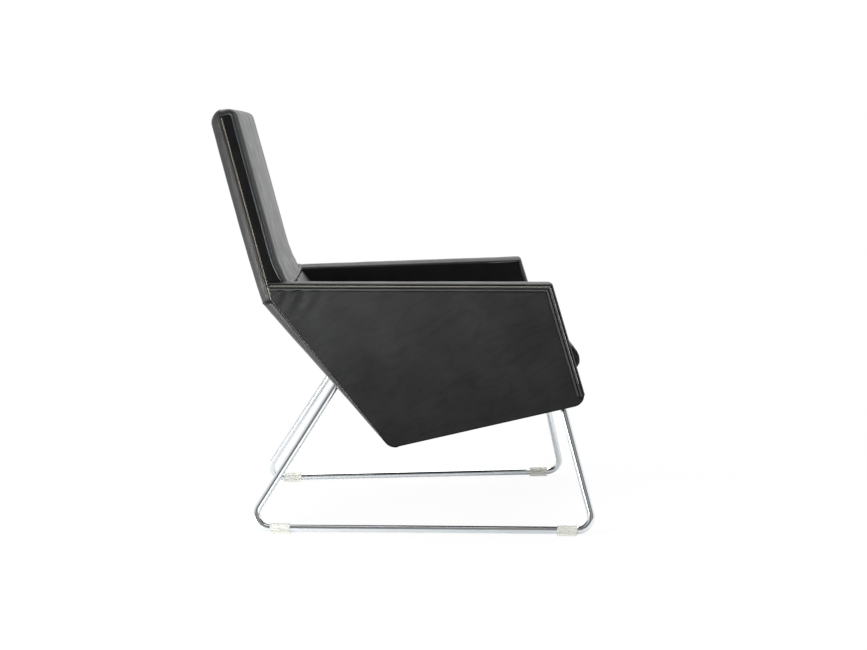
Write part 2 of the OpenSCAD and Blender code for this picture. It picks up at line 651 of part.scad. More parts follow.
// Where the plates sit: one frame under the seat's front, one on the slanting rear
module at_front_plate() under_frame() translate([leg_at_f[0], leg_at_f[1] + front_plate_back, under_inset])
  children();
module at_rear_plate() rear_frame() translate([leg_at_r[0] - rear_plate_in, leg_at_r[1], rear_inset])
  rotate([0, 0, 90]) children();
module at_plates() {
  at_front_plate() children();
  at_rear_plate() children();
}
module at_bolts() for (side = [-1, 1]) translate([side * bolt_pitch / 2, 0, 0]) children();
module bolt(gap) {
  translate([0, 0, -plate_t]) cylinder(h = bolt_l, r = bolt_d / 2 + gap, $fn = round_faces);
  translate([0, 0, -plate_t])
    cylinder(h = bolt_head_h, r1 = bolt_head_d / 2 + gap, r2 = bolt_d / 2 + gap, $fn = round_faces);
}
module nut_hole() {
  translate([0, 0, rail_t - nut_l]) cylinder(h = nut_l, r = nut_d / 2, $fn = round_faces);
  translate([0, 0, -cut]) cylinder(h = rail_t, r = bolt_d / 2 + bolt_clear, $fn = round_faces);
}
module plate() {
  difference() {
    translate([0, 0, -plate_t]) linear_extrude(plate_t)
      offset(r = plate_corner_r, $fn = round_faces)
        square([plate_l - 2 * plate_corner_r, plate_w - 2 * plate_corner_r], center = true);
    at_bolts() bolt(bolt_clear);
  }
}
module rod_plates() color(c_steel) placed() both() at_plates() plate();
module plate_screws() color(c_steel) placed() both() at_plates() at_bolts() bolt(0);
module tee_nuts() color(c_steel) placed() both() at_plates() at_bolts() difference() {
  union() {
    translate([0, 0, rail_t - nut_l]) cylinder(h = nut_l, r = nut_d / 2 - bolt_clear, $fn = round_faces);
    translate([0, 0, rail_t]) cylinder(h = nut_flange_t, r = nut_flange_d / 2, $fn = round_faces);
  }
  translate([0, 0, rail_t - nut_l - cut])
    cylinder(h = nut_l + nut_flange_t + 2 * cut, r = bolt_d / 2 + screw_clear, $fn = round_faces);
}

// Wood screws, level across the chair through the plywood sides into the rails' ends
module screw(p, gap) translate([outer_x(p) - core_in - screw_sink, p[0], p[1]]) rotate([0, -90, 0]) {
  cylinder(h = screw_l, r = screw_d / 2 + gap, $fn = round_faces);
  cylinder(h = screw_head_h, r1 = screw_head_d / 2 + gap, r2 = screw_d / 2 + gap, $fn = round_faces);
}
module screw_wells() for (p = screw_points) translate([outer_x(p) - core_in - screw_sink, p[0], p[1]])
  rotate([0, 90, 0]) cylinder(h = 2 * screw_head_d, r = screw_head_d / 2 + screw_clear, $fn = round_faces);
module screws(gap) for (p = screw_points) screw(p, gap);
module frame_screws() color(c_steel) placed() both() screws(0);

// Carcass
module side_core() {
  difference() {
    side_slice(core_in, core_out) outline(core_in);
    screws(screw_clear);
    screw_wells();
  }
}
module side_core_right() color(c_ply) placed() side_core();
module side_core_left() color(c_ply) placed() mirror([1, 0, 0]) side_core();

module front_rail_outline() intersection() {
  difference() {
    front_zone(front_rail_in + rail_t);
    front_zone(front_rail_in);
  }
  above_under(under_inset + rail_t + step_gap);
  below_deck(web_z);
}
module front_rail() color(c_ply) placed() difference() {
  between_cores() across() front_rail_outline();
  both() screws(screw_clear);
}
module front_beam() color(c_ply) placed() difference() {
  between_cores() under_frame()
    translate([-big / 2, front_rail_in + cut, under_inset]) cube([big, front_beam_l, rail_t]);
  both() {
    screws(screw_clear);
    at_front_plate() at_bolts() nut_hole();
  }
}
module rear_rail() color(c_ply) placed() difference() {
  between_cores() rear_frame()
    translate([-big / 2, leg_at_r[1] - rear_rail_l / 2, rear_inset]) cube([big, rear_rail_l, rail_t]);
  both() {
    screws(screw_clear);
    at_rear_plate() at_bolts() nut_hole();
  }
}
module seat_back_rail() color(c_ply) placed() difference() {
  between_cores() deck_frame()
    translate([-big / 2, seat_back_q, -web_z - seat_back_rail_h])
      cube([big, rail_t, seat_back_rail_h]);
  both() screws(screw_clear);
}
module seat_rail_outline() intersection() {
  difference() {
    below_deck(web_z + strap_t);
    below_deck(web_z + strap_t + seat_rail_h);
  }
  polygon([on_deck(seat_rail_from, -big), on_deck(seat_back_q, -big), on_deck(seat_back_q, big),
    on_deck(seat_rail_from, big)]);
}
module seat_rail() side_slice(core_out, core_out + rail_t) seat_rail_outline();
module seat_rail_right() color(c_ply) placed() seat_rail();
module seat_rail_left() color(c_ply) placed() mirror([1, 0, 0]) seat_rail();

// Dog-leg upright: upper part along the back, lower part along the slanting rear
module stile_outline() polygon([on_back(stile_top, -carcass_front), on_back(stile_top, carcass_rear),
  meet(on_back(0, carcass_rear), up, on_rear(0, rear_inset), rear_dir), on_rear(stile_foot, rear_inset),
  on_rear(stile_foot, rear_inset + stile_t),
  meet(on_back(0, -carcass_front), up, on_rear(0, rear_inset + stile_t), rear_dir)]);
module back_stile() difference() {
  intersection() {
    across_right() stile_outline();
    in_carcass();
  }
  in_carcass(stile_w);
  screws(screw_clear);
}
module back_stile_right() color(c_ply) placed() back_stile();
module back_stile_left() color(c_ply) placed() mirror([1, 0, 0]) back_stile();
module back_top_rail() color(c_ply) placed() intersection() {
  back_frame() translate([-big / 2, stile_top - top_rail_h, -carcass_rear]) cube([big, top_rail_h, stile_t]);
  in_carcass(stile_w + seat_gap);
  mirror([1, 0, 0]) in_carcass(stile_w + seat_gap);
}
module back_board() color(c_ply) placed() between_backs(board_side) back_frame()
  translate([-big / 2, board_low, -carcass_rear - panel_t]) cube([big, stile_top - board_low, panel_t]);
module lower_board() color(c_ply) placed() difference() {
  between_cores() rear_frame() translate([-big / 2, corner_r, 0])
    cube([big, rear_len - 2 * corner_r, rear_inset - seat_gap]);
  both() at_rear_plate()
    translate([-plate_l / 2 - cut, -plate_w / 2 - cut, -2 * plate_t])
      cube([plate_l + 2 * cut, plate_w + 2 * cut, 4 * plate_t]);
}

// Straps and cloth
module seat_webbing_long() color(c_web) placed()
  for (x = [-2 : 2]) deck_frame() translate([x * long_pitch - strap_w / 2, deck_front_q, -web_z])
    cube([strap_w, strap_back - deck_front_q, strap_t]);
module seat_webbing_cross() color(c_web) placed() intersection() {
  for (i = [0 : 3]) deck_frame()
    translate([-big / 2, cross_first + i * cross_pitch, -web_z - strap_t])
      cube([big, strap_w, strap_t]);
  in_outer(core_out + seat_gap);
  mirror([1, 0, 0]) in_outer(core_out + seat_gap);
}
module back_webbing() color(c_web) placed() intersection() {
  for (i = [0 : 3]) back_frame()
    translate([-big / 2, back_strap_low + i * back_strap_pitch, carcass_front])
      cube([big, strap_w, strap_t]);
  in_carcass();
  mirror([1, 0, 0]) in_carcass();
}
module deck_cloth() color(c_cloth) placed() between_arms(seat_gap) deck_frame()
  translate([-big / 2, deck_front_q, -cloth_t]) cube([big, strap_back - deck_front_q, cloth_t]);

// Foam and leather of the arms
module side_foam() {
  side_slice(leather, core_in) outline(leather);
  side_slice(core_in, core_out) difference() {
    outline(leather);
    outline(core_in);
    intersection() {
      arm_zone();
      ahead_of_carcass();
    }
  }
}
module side_foam_right() color(c_foam) placed() side_foam();
module side_foam_left() color(c_foam) placed() mirror([1, 0, 0]) side_foam();
module arm_pad() difference() {
  arm_slice(core_in, leather) intersection() {
    outline(leather);
    arm_zone();
    ahead_of_carcass();
  }
  side_slice(core_in, core_out) outline(core_in);
}
module arm_pad_right() color(c_foam) placed() arm_pad();
module arm_pad_left() color(c_foam) placed() mirror([1, 0, 0]) arm_pad();

module outer_side_cover() {
  side_slice(0, leather) outline(0);
  side_slice(leather, core_out) difference() {
    outline(0);
    outline(leather);
    upper_zone();
  }
}
module outer_side_cover_right() color(c_leather) placed() outer_side_cover();
module outer_side_cover_left() color(c_leather) placed() mirror([1, 0, 0]) outer_side_cover();
module inner_arm_cover() {
  arm_slice(leather, 0) difference() {
    intersection() {
      outline(0);
      upper_zone();
      ahead_of_carcass();
    }
    outline(leather);
  }
  intersection() {
    arm_slice(core_out, 0) intersection() {
      outline(0);
      arm_zone();
      ahead_of_carcass();
    }
    in_inner(-leather);
  }
}
module inner_arm_cover_right() color(c_leather_dark) placed() inner_arm_cover();
module inner_arm_cover_left() color(c_leather_dark) placed() mirror([1, 0, 0]) inner_arm_cover();

// Raised seam along the arm's top and front, mitred at the front corner
seam_line = B + strip_w * arm_in;
seam_front = B + strip_w * front_in;
module arm_seam() side_slice(-strip_proud, 0) intersection() {
  polygon([A, B, C, meet(seam_front, front_dir, C, under_dir),
    meet(seam_line, arm_dir, seam_front, front_dir), meet(seam_line, arm_dir, A, up)]);
  outline(0);
}
module arm_seam_right() color(c_leather) placed() arm_seam();
module arm_seam_left() color(c_leather) placed() mirror([1, 0, 0]) arm_seam();

module front_pad() color(c_foam) placed() between_arms(seat_gap) across() intersection() {
  difference() {
    front_zone(front_rail_in);
    front_zone(apron_inset + leather);
  }
  outline(leather);
  below_deck(0);
}
module front_apron() color(c_leather_dark) placed() between_arms(seat_gap) across() intersection() {
  difference() {
    front_zone(apron_inset + leather);
    front_zone(apron_inset);
  }
  outline(0);
  below_deck(0);
}
module underside_cover() color(c_cloth) placed() difference() {
  between_cores() across() intersection() {
    difference() {
      outline(0);
      outline(under_cloth_t);
      front_zone(front_rail_in + seat_gap);
    }
    polygon([on_under(0, -big), on_under(under_len - corner_r, -big),
      on_under(under_len - corner_r, corner_r), on_under(0, corner_r)]);
  }
  both() leg_holes();
}
module leg_holes() {
  bar(foot_f, top_f, rod_r + leg_hole_gap);
  bar(foot_r, top_r, rod_r + leg_hole_gap);
}

// Back: shaped foam and leather as sheets between two grids
module back_pad() color(c_foam) placed() sheet(front_rows(leather), pad_rows());
module inner_back_cover() color(c_leather) placed() sheet(front_rows(0), front_rows(leather));
module gusset_outline() polygon(concat([for (i = [arm_row + 1 : len(edge_path) - 1]) edge_path[i]],
  [on_back(0, 0) - 5 * step_gap * arm_in]));
module back_gusset() difference() {
  intersection() {
    across_right() gusset_outline();
    in_back(0);
  }
  in_back(leather);
}
module back_gusset_right() color(c_leather_dark) placed() back_gusset();
module back_gusset_left() color(c_leather_dark) placed() mirror([1, 0, 0]) back_gusset();
module back_edge_foam() difference() {
  intersection() {
    across_right() intersection() {
      polygon([on_back(-kink_drop, -carcass_front - strap_t), on_back(-kink_drop, 0), on_back(stile_top, 0),
        on_back(stile_top, -carcass_front - strap_t)]);
      above_arm();
    }
    in_back(leather);
  }
  in_carcass();
}
module back_edge_foam_right() color(c_foam) placed() back_edge_foam();
module back_edge_foam_left() color(c_foam) placed() mirror([1, 0, 0]) back_edge_foam();
module outer_back_cover() color(c_leather) placed() sheet(rear_rows(0), rear_rows(leather));
module rear_foam() color(c_foam) placed() sheet(rear_foam_out(), rear_foam_in());
module lower_rear_cover() color(c_leather) placed() difference() {
  sheet(low_rows(0), low_rows(leather));
  both() leg_holes();
}
module lower_rear_foam() color(c_foam) placed() difference() {
  sheet(low_foam_out(), low_foam_in());
  both() leg_holes();
}

// Seat cushion
module cushion_cover() color(c_leather) placed() difference() {
  loft(cushion_rings(0));
  loft(cushion_rings(leather));
}
module cushion_core() color(c_foam) placed() loft(cushion_rings(leather + screw_clear));
module cushion_zip() color(c_steel) placed() translate([0, zip_at[0], zip_at[1]])
  rotate([rear_angle, 0, 0]) {
    translate([-zip_l / 2, -zip_w / 2, -zip_t]) cube([zip_l, zip_w, zip_t]);
    translate([-zip_l / 2, -zip_w / 4, -zip_t - zip_slider_t])
      cube([zip_slider_l, zip_w / 2, zip_slider_t]);
  }

sled_rod_left();
sled_rod_right();
rod_plates();
plate_screws();
tee_nuts();
glide_front_left();
glide_front_right();
glide_rear_left();
glide_rear_right();
glide_pins();
side_core_left();
side_core_right();
front_rail();
front_beam();
seat_back_rail();
rear_rail();
seat_rail_left();
seat_rail_right();
back_stile_left();
back_stile_right();
back_top_rail();
back_board();
lower_board();
frame_screws();
seat_webbing_long();
seat_webbing_cross();
back_webbing();
deck_cloth();
side_foam_left();
side_foam_right();
arm_pad_left();
arm_pad_right();
front_pad();
back_pad();
rear_foam();
lower_rear_foam();
cushion_core();
outer_side_cover_left();
outer_side_cover_right();
inner_arm_cover_left();
inner_arm_cover_right();
arm_seam_left();
arm_seam_right();
inner_back_cover();
back_gusset_left();
back_gusset_right();
back_edge_foam_left();
back_edge_foam_right();
outer_back_cover();
lower_rear_cover();
front_apron();
underside_cover();
cushion_cover();
cushion_zip();
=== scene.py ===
import json
import math

import bmesh
import bpy
import numpy as np
from mathutils import Matrix, Vector, noise
from mathutils.bvhtree import BVHTree

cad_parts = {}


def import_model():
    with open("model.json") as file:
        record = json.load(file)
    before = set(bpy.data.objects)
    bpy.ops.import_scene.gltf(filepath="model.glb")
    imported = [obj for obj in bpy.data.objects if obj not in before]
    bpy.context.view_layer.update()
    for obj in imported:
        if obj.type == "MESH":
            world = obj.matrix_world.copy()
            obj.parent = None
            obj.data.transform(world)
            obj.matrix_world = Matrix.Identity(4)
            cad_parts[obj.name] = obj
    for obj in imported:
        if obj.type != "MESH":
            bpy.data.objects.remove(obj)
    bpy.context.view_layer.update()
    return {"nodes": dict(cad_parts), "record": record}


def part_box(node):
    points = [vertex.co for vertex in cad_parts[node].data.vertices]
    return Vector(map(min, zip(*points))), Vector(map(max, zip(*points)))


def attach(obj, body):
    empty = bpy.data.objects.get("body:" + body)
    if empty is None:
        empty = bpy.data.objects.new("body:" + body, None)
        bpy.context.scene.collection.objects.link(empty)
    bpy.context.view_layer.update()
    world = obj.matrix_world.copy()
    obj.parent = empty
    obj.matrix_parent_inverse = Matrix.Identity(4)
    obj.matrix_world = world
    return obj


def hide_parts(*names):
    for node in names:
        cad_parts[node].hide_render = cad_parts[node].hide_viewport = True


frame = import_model()
TAU = 2 * math.pi

# the chair's measures, in mm
SIN = lambda a: math.sin(math.radians(a))
COS = lambda a: math.cos(math.radians(a))
TAN = lambda a: math.tan(math.radians(a))
v2 = lambda y, z: np.array([y, z], float)
unit = lambda v: v / np.linalg.norm(v)
mix = lambda a, b, t: a + (b - a) * t
cross2 = lambda a, b: a[0] * b[1] - a[1] * b[0]

# angles in degrees: the sides, the back, the front edge, the underside and the seat deck
SIDE_LEAN, BACK_LEAN, FRONT_LEAN, UNDER_SLOPE, DECK_SLOPE = 9, 14.8, 17.2, 15.5, 12
# the side's outline: A the arm's rear end, B its front end, C and D the lower corners, E the rear's kink
ARM_REAR_H, ARM_FRONT_H, ARM_RUN = 549, 558, 605
FRONT_DROP, UNDER_RUN, KINK_DROP, DECK_DROP = 254, 416, 30, 200
OUTER_FRONT, OUTER_REAR, INNER_FRONT, INNER_REAR = 384, 246, 324, 200
BACK_LOW_W, BACK_TOP_W, BACK_TOP, BACK_DEPTH = 246, 226, 382, 36
CORNER_R = 26
LEAN = TAN(SIDE_LEAN)
UP, AFT = v2(SIN(BACK_LEAN), COS(BACK_LEAN)), v2(COS(BACK_LEAN), -SIN(BACK_LEAN))
DOWN_FRONT = v2(-TAN(FRONT_LEAN), -1)
B = v2(0, ARM_FRONT_H)
A = v2(ARM_RUN, ARM_REAR_H)
C = B + FRONT_DROP * DOWN_FRONT
D = C + UNDER_RUN * v2(1, -TAN(UNDER_SLOPE))
E = A - KINK_DROP * UP
REAR_DIR = unit(E - D)
REAR_IN = v2(-REAR_DIR[1], REAR_DIR[0])
REAR_ANGLE = math.degrees(math.atan2(REAR_DIR[1], REAR_DIR[0]))
DECK_O = B + DECK_DROP * DOWN_FRONT
DECK_DIR, DECK_UP = v2(COS(DECK_SLOPE), -SIN(DECK_SLOPE)), v2(SIN(DECK_SLOPE), COS(DECK_SLOPE))
ARM_DIR = unit(A - B)
ARM_IN = v2(ARM_DIR[1], -ARM_DIR[0])
FRONT_DIR = unit(DOWN_FRONT)
FRONT_IN = v2(-FRONT_DIR[1], FRONT_DIR[0])
UNDER_DIR = unit(D - C)
REAL_C, REAL_D = C, D
# how far the leather's fold stands out under the body and behind its slanting rear
FULL_UNDER, FULL_REAR = 4.7, 3.4
# how far the rods run on inside the body
OVERRUN = 10
# the lower back's face over the slanting rear, and the face's angle to the deck
BACK_FACE = 51.0
FACE = REAR_ANGLE + DECK_SLOPE
on_back = lambda s, d: A + s * UP + d * AFT
on_deck = lambda q, h: np.array([DECK_O[k] + q * DECK_DIR[k] + h * DECK_UP[k] for k in (0, 1)])


def meet(p, u, q, v):
    """Where the line through p along u meets the line through q along v."""
    return p + u * cross2(q - p, v) / cross2(u, v)


# the leather's fold makes the lower edge and the slanting rear edge a little fuller
low_p, rear_p = C - FULL_UNDER * v2(-UNDER_DIR[1], UNDER_DIR[0]), D - FULL_REAR * REAR_IN
C = meet(low_p, UNDER_DIR, B, DOWN_FRONT)
D = meet(low_p, UNDER_DIR, rear_p, REAR_DIR)
E = meet(rear_p, REAR_DIR, A, UP)


def fillet(a, b, c, r, n=8):
    """A bend of radius r at b in n steps, between the lines to a and to c."""
    u, v = unit(a - b), unit(c - b)
    half = math.acos(float(u @ v)) / 2
    m = b + unit(u + v) * r / math.sin(half)
    p, q = b + u * r / math.tan(half) - m, b + v * r / math.tan(half) - m
    w = math.pi - 2 * half
    shares = [i / n for i in range(n + 1)]
    return [m + (math.sin((1 - t) * w) * p + math.sin(t * w) * q) / math.sin(w) for t in shares]


def line(a, b, n, first=0):
    """Points in n steps from a towards b, without b itself."""
    return [mix(a, b, i / n) for i in range(first, n)]


def plane_x(xb, xa, p):
    """Half width at p of a side's leaning plane, from its half widths at the arm's two ends."""
    flare = (xb - xa - LEAN * (ARM_FRONT_H - ARM_REAR_H)) / ARM_RUN
    return xb - flare * (p[0] - B[0]) + LEAN * (p[1] - B[1])


outer_x = lambda p: plane_x(OUTER_FRONT, OUTER_REAR, p)
inner_x = lambda p: plane_x(INNER_FRONT, INNER_REAR, p)
back_x = lambda s, d: BACK_LOW_W - (BACK_LOW_W - BACK_TOP_W) / BACK_TOP * s + 10 / BACK_DEPTH * min(d, 0)
# the top rail's lower front edge in the outline's own place, and from it the chair's place along y
RAIL_TOP, RAIL_H, RAIL_FRONT = 361.7, 50, -14
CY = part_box("back_top_rail")[0][1] * 1000 - on_back(RAIL_TOP - RAIL_H, RAIL_FRONT)[0]


def world(p):
    """Points in mm, before the chair's placing, to metres in the row frame."""
    p = np.asarray(p, float)
    return (p + np.array([0, CY, 0])) / 1000


# camera
PHOTO_W, FOCAL_PX, SENSOR = 867, 1550, 36
CAMERA_AT = Vector((-3.59507, 0.36691 + CY / 1000, 0.8585))
YAW, PITCH = -0.03696, 0.11937
ahead = Vector((math.cos(PITCH) * math.cos(YAW), math.cos(PITCH) * math.sin(YAW), -math.sin(PITCH)))
right = Vector((math.sin(YAW), -math.cos(YAW), 0))
scene = bpy.context.scene
camera = bpy.data.objects.new("camera", bpy.data.cameras.new("camera"))
camera.data.sensor_width = SENSOR
camera.data.lens = FOCAL_PX / PHOTO_W * SENSOR
camera.data.clip_end = 60
turned = Matrix((right, right.cross(ahead), -ahead)).transposed().to_4x4()
camera.matrix_world = Matrix.Translation(CAMERA_AT) @ turned
scene.collection.objects.link(camera)
scene.camera = camera
scene.view_settings.view_transform = "Standard"


# materials
def new_mat(name):
    m = bpy.data.materials.new(name)
    m.use_nodes = True
    n = m.node_tree.nodes
    n.clear()
    out = n.new("ShaderNodeOutputMaterial")
    b = n.new("ShaderNodeBsdfPrincipled")
    m.node_tree.links.new(b.outputs[0], out.inputs[0])
    return m, n, m.node_tree.links, b


def coords(n, l, scale=(1, 1, 1), rot=(0, 0, 0)):
    """Object coordinates, turned and then drawn out by scale along their own axes."""
    c = n.new("ShaderNodeTexCoord")
    m = n.new("ShaderNodeMapping")
    m.vector_type = "TEXTURE"
    m.inputs["Scale"].default_value = scale
    m.inputs["Rotation"].default_value = rot
    l.new(c.outputs["Object"], m.inputs[0])
    return m.outputs[0]


def tex(n, l, co, scale, detail=2.0, rough=0.5, kind="ShaderNodeTexNoise"):
    t = n.new(kind)
    l.new(co, t.inputs["Vector"])
    for key, value in (("Scale", scale), ("Detail", detail), ("Roughness", rough)):
        if key in t.inputs:
            t.inputs[key].default_value = value
    return t


def ramp(n, l, value, stops):
    """A colour or grey read off between stops of place and colour."""
    r = n.new("ShaderNodeValToRGB")
    while len(r.color_ramp.elements) < len(stops):
        r.color_ramp.elements.new(0.5)
    for e, (p, c) in zip(r.color_ramp.elements, stops):
        e.position = p
        e.color = (c, c, c, 1) if not hasattr(c, "__len__") else (*c, 1)
    l.new(value, r.inputs[0])
    return r.outputs[0]


def maths(n, l, op, a, b=0.0):
    m = n.new("ShaderNodeMath")
    m.operation = op
    for i, v in enumerate((a, b)):
        if isinstance(v, (int, float)):
            m.inputs[i].default_value = v
        else:
            l.new(v, m.inputs[i])
    return m.outputs[0]


def blend(n, l, share, a, b):
    """A surface between a and b, by share."""
    m = n.new("ShaderNodeMixShader")
    for i, v in enumerate((share, a, b)):
        l.new(v, m.inputs[i])
    return m.outputs[0]


def bump(n, l, height, strength, distance, normal=None):
    b = n.new("ShaderNodeBump")
    b.inputs["Strength"].default_value = strength
    b.inputs["Distance"].default_value = distance
    l.new(height, b.inputs["Height"])
    if normal is not None:
        l.new(normal, b.inputs["Normal"])
    return b.outputs[0]


def leather_mat(name, dark, light, rough, veins, spec):
    """Black leather with pores, cloudy shine and faint slanting growth lines of strength veins."""
    m, n, l, b = new_mat(name)
    co = coords(n, l)
    slant = coords(n, l, (1, 7.0, 0.7), (math.radians(-32), 0, 0))
    cloud = tex(n, l, co, 9.0, 5.0, 0.6)
    pores = tex(n, l, co, 620.0, kind="ShaderNodeTexVoronoi")
    fine = tex(n, l, co, 300.0, 4.0, 0.6)
    veined = []
    for scale, detail, width in ((34.0, 1.0, 0.035), (15.0, 0.6, 0.03)):
        vein = tex(n, l, slant, scale, detail, 0.4)
        off = maths(n, l, "ABSOLUTE", maths(n, l, "SUBTRACT", vein.outputs[0], 0.5))
        veined.append(ramp(n, l, off, [(0.0, 0.0), (width, 1.0)]))
    both = maths(n, l, "MULTIPLY", *veined)
    l.new(ramp(n, l, cloud.outputs[0], [(0.3, dark), (0.72, light)]), b.inputs["Base Color"])
    worn = tex(n, l, co, 30.0, 5.0, 0.6).outputs[0]
    l.new(ramp(n, l, worn, [(0.3, rough - 0.05), (0.7, rough + 0.05)]), b.inputs["Roughness"])
    cloudy = ramp(n, l, cloud.outputs[0], [(0.3, 0.86 * spec), (0.7, 1.12 * spec)])
    shine = maths(n, l, "MULTIPLY", cloudy, ramp(n, l, both, [(0.0, 1 - 0.13 * veins), (1.0, 1.0)]))
    l.new(shine, b.inputs["Specular IOR Level"])
    n1 = bump(n, l, veined[1], 0.10 * veins, 0.0005)
    n2 = bump(n, l, veined[0], 0.07 * veins, 0.0003, n1)
    grain = maths(n, l, "ADD", pores.outputs["Distance"], maths(n, l, "MULTIPLY", fine.outputs[0], 0.6))
    n3 = bump(n, l, grain, 0.22, 0.00025, n2)
    l.new(n3, b.inputs["Normal"])
    return m


def metal_mat(name, color, rough, grain=900.0, strength=0.0):
    m, n, l, b = new_mat(name)
    co = coords(n, l)
    t = tex(n, l, co, grain, 3.0)
    s = tex(n, l, co, 14.0, 4.0)
    b.inputs["Metallic"].default_value = 1.0
    tint = ramp(n, l, s.outputs[0], [(0.3, [c * 0.96 for c in color]), (0.7, color)])
    l.new(tint, b.inputs["Base Color"])
    l.new(ramp(n, l, s.outputs[0], [(0.3, rough), (0.75, rough * 1.6)]), b.inputs["Roughness"])
    l.new(bump(n, l, t.outputs[0], strength, 0.00005), b.inputs["Normal"])
    return m


def cloth_mat(name, dark, light, thread, rough=0.85):
    m, n, l, b = new_mat(name)
    co = coords(n, l)
    wx = n.new("ShaderNodeTexWave")
    wx.bands_direction = "X"
    wy = n.new("ShaderNodeTexWave")
    wy.bands_direction = "Y"
    for w in (wx, wy):
        w.inputs["Scale"].default_value = thread
        w.inputs["Distortion"].default_value = 0.6
        l.new(co, w.inputs["Vector"])
    weave = maths(n, l, "MULTIPLY", wx.outputs["Fac"], wy.outputs["Fac"])
    l.new(ramp(n, l, weave, [(0.0, dark), (1.0, light)]), b.inputs["Base Color"])
    b.inputs["Roughness"].default_value = rough
    l.new(bump(n, l, weave, 0.4, 0.0004), b.inputs["Normal"])
    return m


def wood_mat(name):
    m, n, l, b = new_mat(name)
    co = coords(n, l, (8, 0.6, 0.6))
    g = tex(n, l, co, 100.0, 6.0, 0.6)
    tint = ramp(n, l, g.outputs[0], [(0.3, (0.42, 0.28, 0.15)), (0.7, (0.62, 0.45, 0.27))])
    l.new(tint, b.inputs["Base Color"])
    b.inputs["Roughness"].default_value = 0.6
    l.new(bump(n, l, g.outputs[0], 0.2, 0.0003), b.inputs["Normal"])
    return m


# each leather's darkest and lightest colour, roughness, strength of growth lines and shine; all are the
# one black leather, the arm, strip and seat copies made darker and duller as painted shade and the back
# front's copy bluish and shinier as a painted reflection
LEATHER = leather_mat("leather_panel", 0.002, 0.004, 0.36, 1.0, 0.21)
LEATHER_PAD = leather_mat("leather_padded", 0.005, 0.009, 0.36, 0.3, 0.72)
# the arm's inner face: the leather made darker and duller, as painted shade
LEATHER_ARM_SHADE = leather_mat("leather_arm_painted_shade", 0.0015, 0.003, 0.36, 0.3, 0.25)
# the back's side strip: the leather made duller, as painted shade
LEATHER_STRIP_SHADE = leather_mat("leather_strip_painted_shade", 0.002, 0.004, 0.33, 0.3, 0.30)
# the back's front face: bluish and very shiny, as a painted reflection
LEATHER_FRONT_REFLECTION = leather_mat("leather_back_front_painted_reflection", (0.005, 0.007, 0.009), (0.009, 0.012, 0.015),
                            0.36, 0.25, 0.95)
LEATHER_EDGE = leather_mat("leather_folded_edge", 0.008, 0.014, 0.42, 0.2, 0.5)
# the seat cushion and the back's tuck: the leather made duller, as painted shade
LEATHER_SEAT_SHADE = leather_mat("leather_seat_painted_shade", 0.003, 0.006, 0.40, 0.5, 0.3)
CHROME = metal_mat("chrome_plate", (0.88, 0.91, 0.93), 0.04)
ZINC = metal_mat("zinc_plate", (0.55, 0.56, 0.58), 0.32, 500.0, 0.1)
PLY = wood_mat("plywood")
WEB = cloth_mat("elastic_webbing", (0.02, 0.02, 0.02), (0.10, 0.10, 0.10), 260.0)
LINING = cloth_mat("lining_cloth", (0.012, 0.012, 0.014), (0.04, 0.04, 0.045), 420.0)


def grained(name, grain, detail, dark, light, rough, spec=None):
    """A matt stuff whose colour goes between dark and light in fine grains."""
    m, n, l, b = new_mat(name)
    g = tex(n, l, coords(n, l), grain, detail)
    l.new(ramp(n, l, g.outputs[0], [(0.3, dark), (0.7, light)]), b.inputs["Base Color"])
    b.inputs["Roughness"].default_value = rough
    if spec is not None:
        b.inputs["Specular IOR Level"].default_value = spec
    return m


def clear_mat(name):
    m, n, l, b = new_mat(name)
    haze = tex(n, l, coords(n, l), 60.0, 3.0).outputs[0]
    l.new(ramp(n, l, haze, [(0.3, (0.86, 0.86, 0.80)), (0.7, (0.93, 0.93, 0.88))]), b.inputs["Base Color"])
    l.new(ramp(n, l, haze, [(0.3, 0.16), (0.7, 0.24)]), b.inputs["Roughness"])
    b.inputs["IOR"].default_value = 1.3
    b.inputs["Transmission Weight"].default_value = 0.6
    return m


EDGE_LINE = grained("cut_leather_edge", 400.0, 3.0, (0.055, 0.045, 0.035), (0.10, 0.085, 0.068), 0.5)
# dark matt leather for the seam's grooves, as painted shade
GROOVE_SHADE = grained("leather_groove_painted_shade", 300.0, 3.0, 0.001, 0.003, 0.8, 0.08)
THREAD = grained("greige_thread", 1800.0, 2.0, (0.30, 0.27, 0.22), (0.50, 0.46, 0.38), 0.7)
DARK_THREAD = grained("black_thread", 1800.0, 2.0, 0.02, 0.05, 0.55)
CLEAR = clear_mat("clear_plastic")


# mesh helpers
def piece(name, verts, faces, mat, replaces=(), fill=None, body="chair", slot="black_leather", thick=0):
    """A mesh from points in mm that rides on a body and may stand for solids of the part."""
    me = bpy.data.meshes.new(name)
    me.from_pydata([tuple(v) for v in world(verts)], [], [tuple(f) for f in faces])
    me.validate()
    me.shade_smooth()
    me.materials.append(mat)
    o = bpy.data.objects.new(name, me)
    scene.collection.objects.link(o)
    if thick:
        s = o.modifiers.new("thickness", "SOLIDIFY")
        s.thickness = thick / 1000
        s.offset = -1
    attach(o, body)
    if replaces:
        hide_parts(*replaces)
    return o


def weld(o, thick):
    """Join a cover's parts where their edges meet, turn them one way and give them a thickness."""
    bm = bmesh.new()
    bm.from_mesh(o.data)
    bmesh.ops.remove_doubles(bm, verts=bm.verts, dist=2e-5)
    bmesh.ops.recalc_face_normals(bm, faces=bm.faces)
    up = sum((f.normal.z * f.calc_area() for f in bm.faces))
    if up < 0:
        bmesh.ops.reverse_faces(bm, faces=bm.faces)
    bm.to_mesh(o.data)
    bm.free()
    o.data.shade_smooth()
    m = o.modifiers.new("thickness", "SOLIDIFY")
    m.thickness, m.offset = thick / 1000, -1


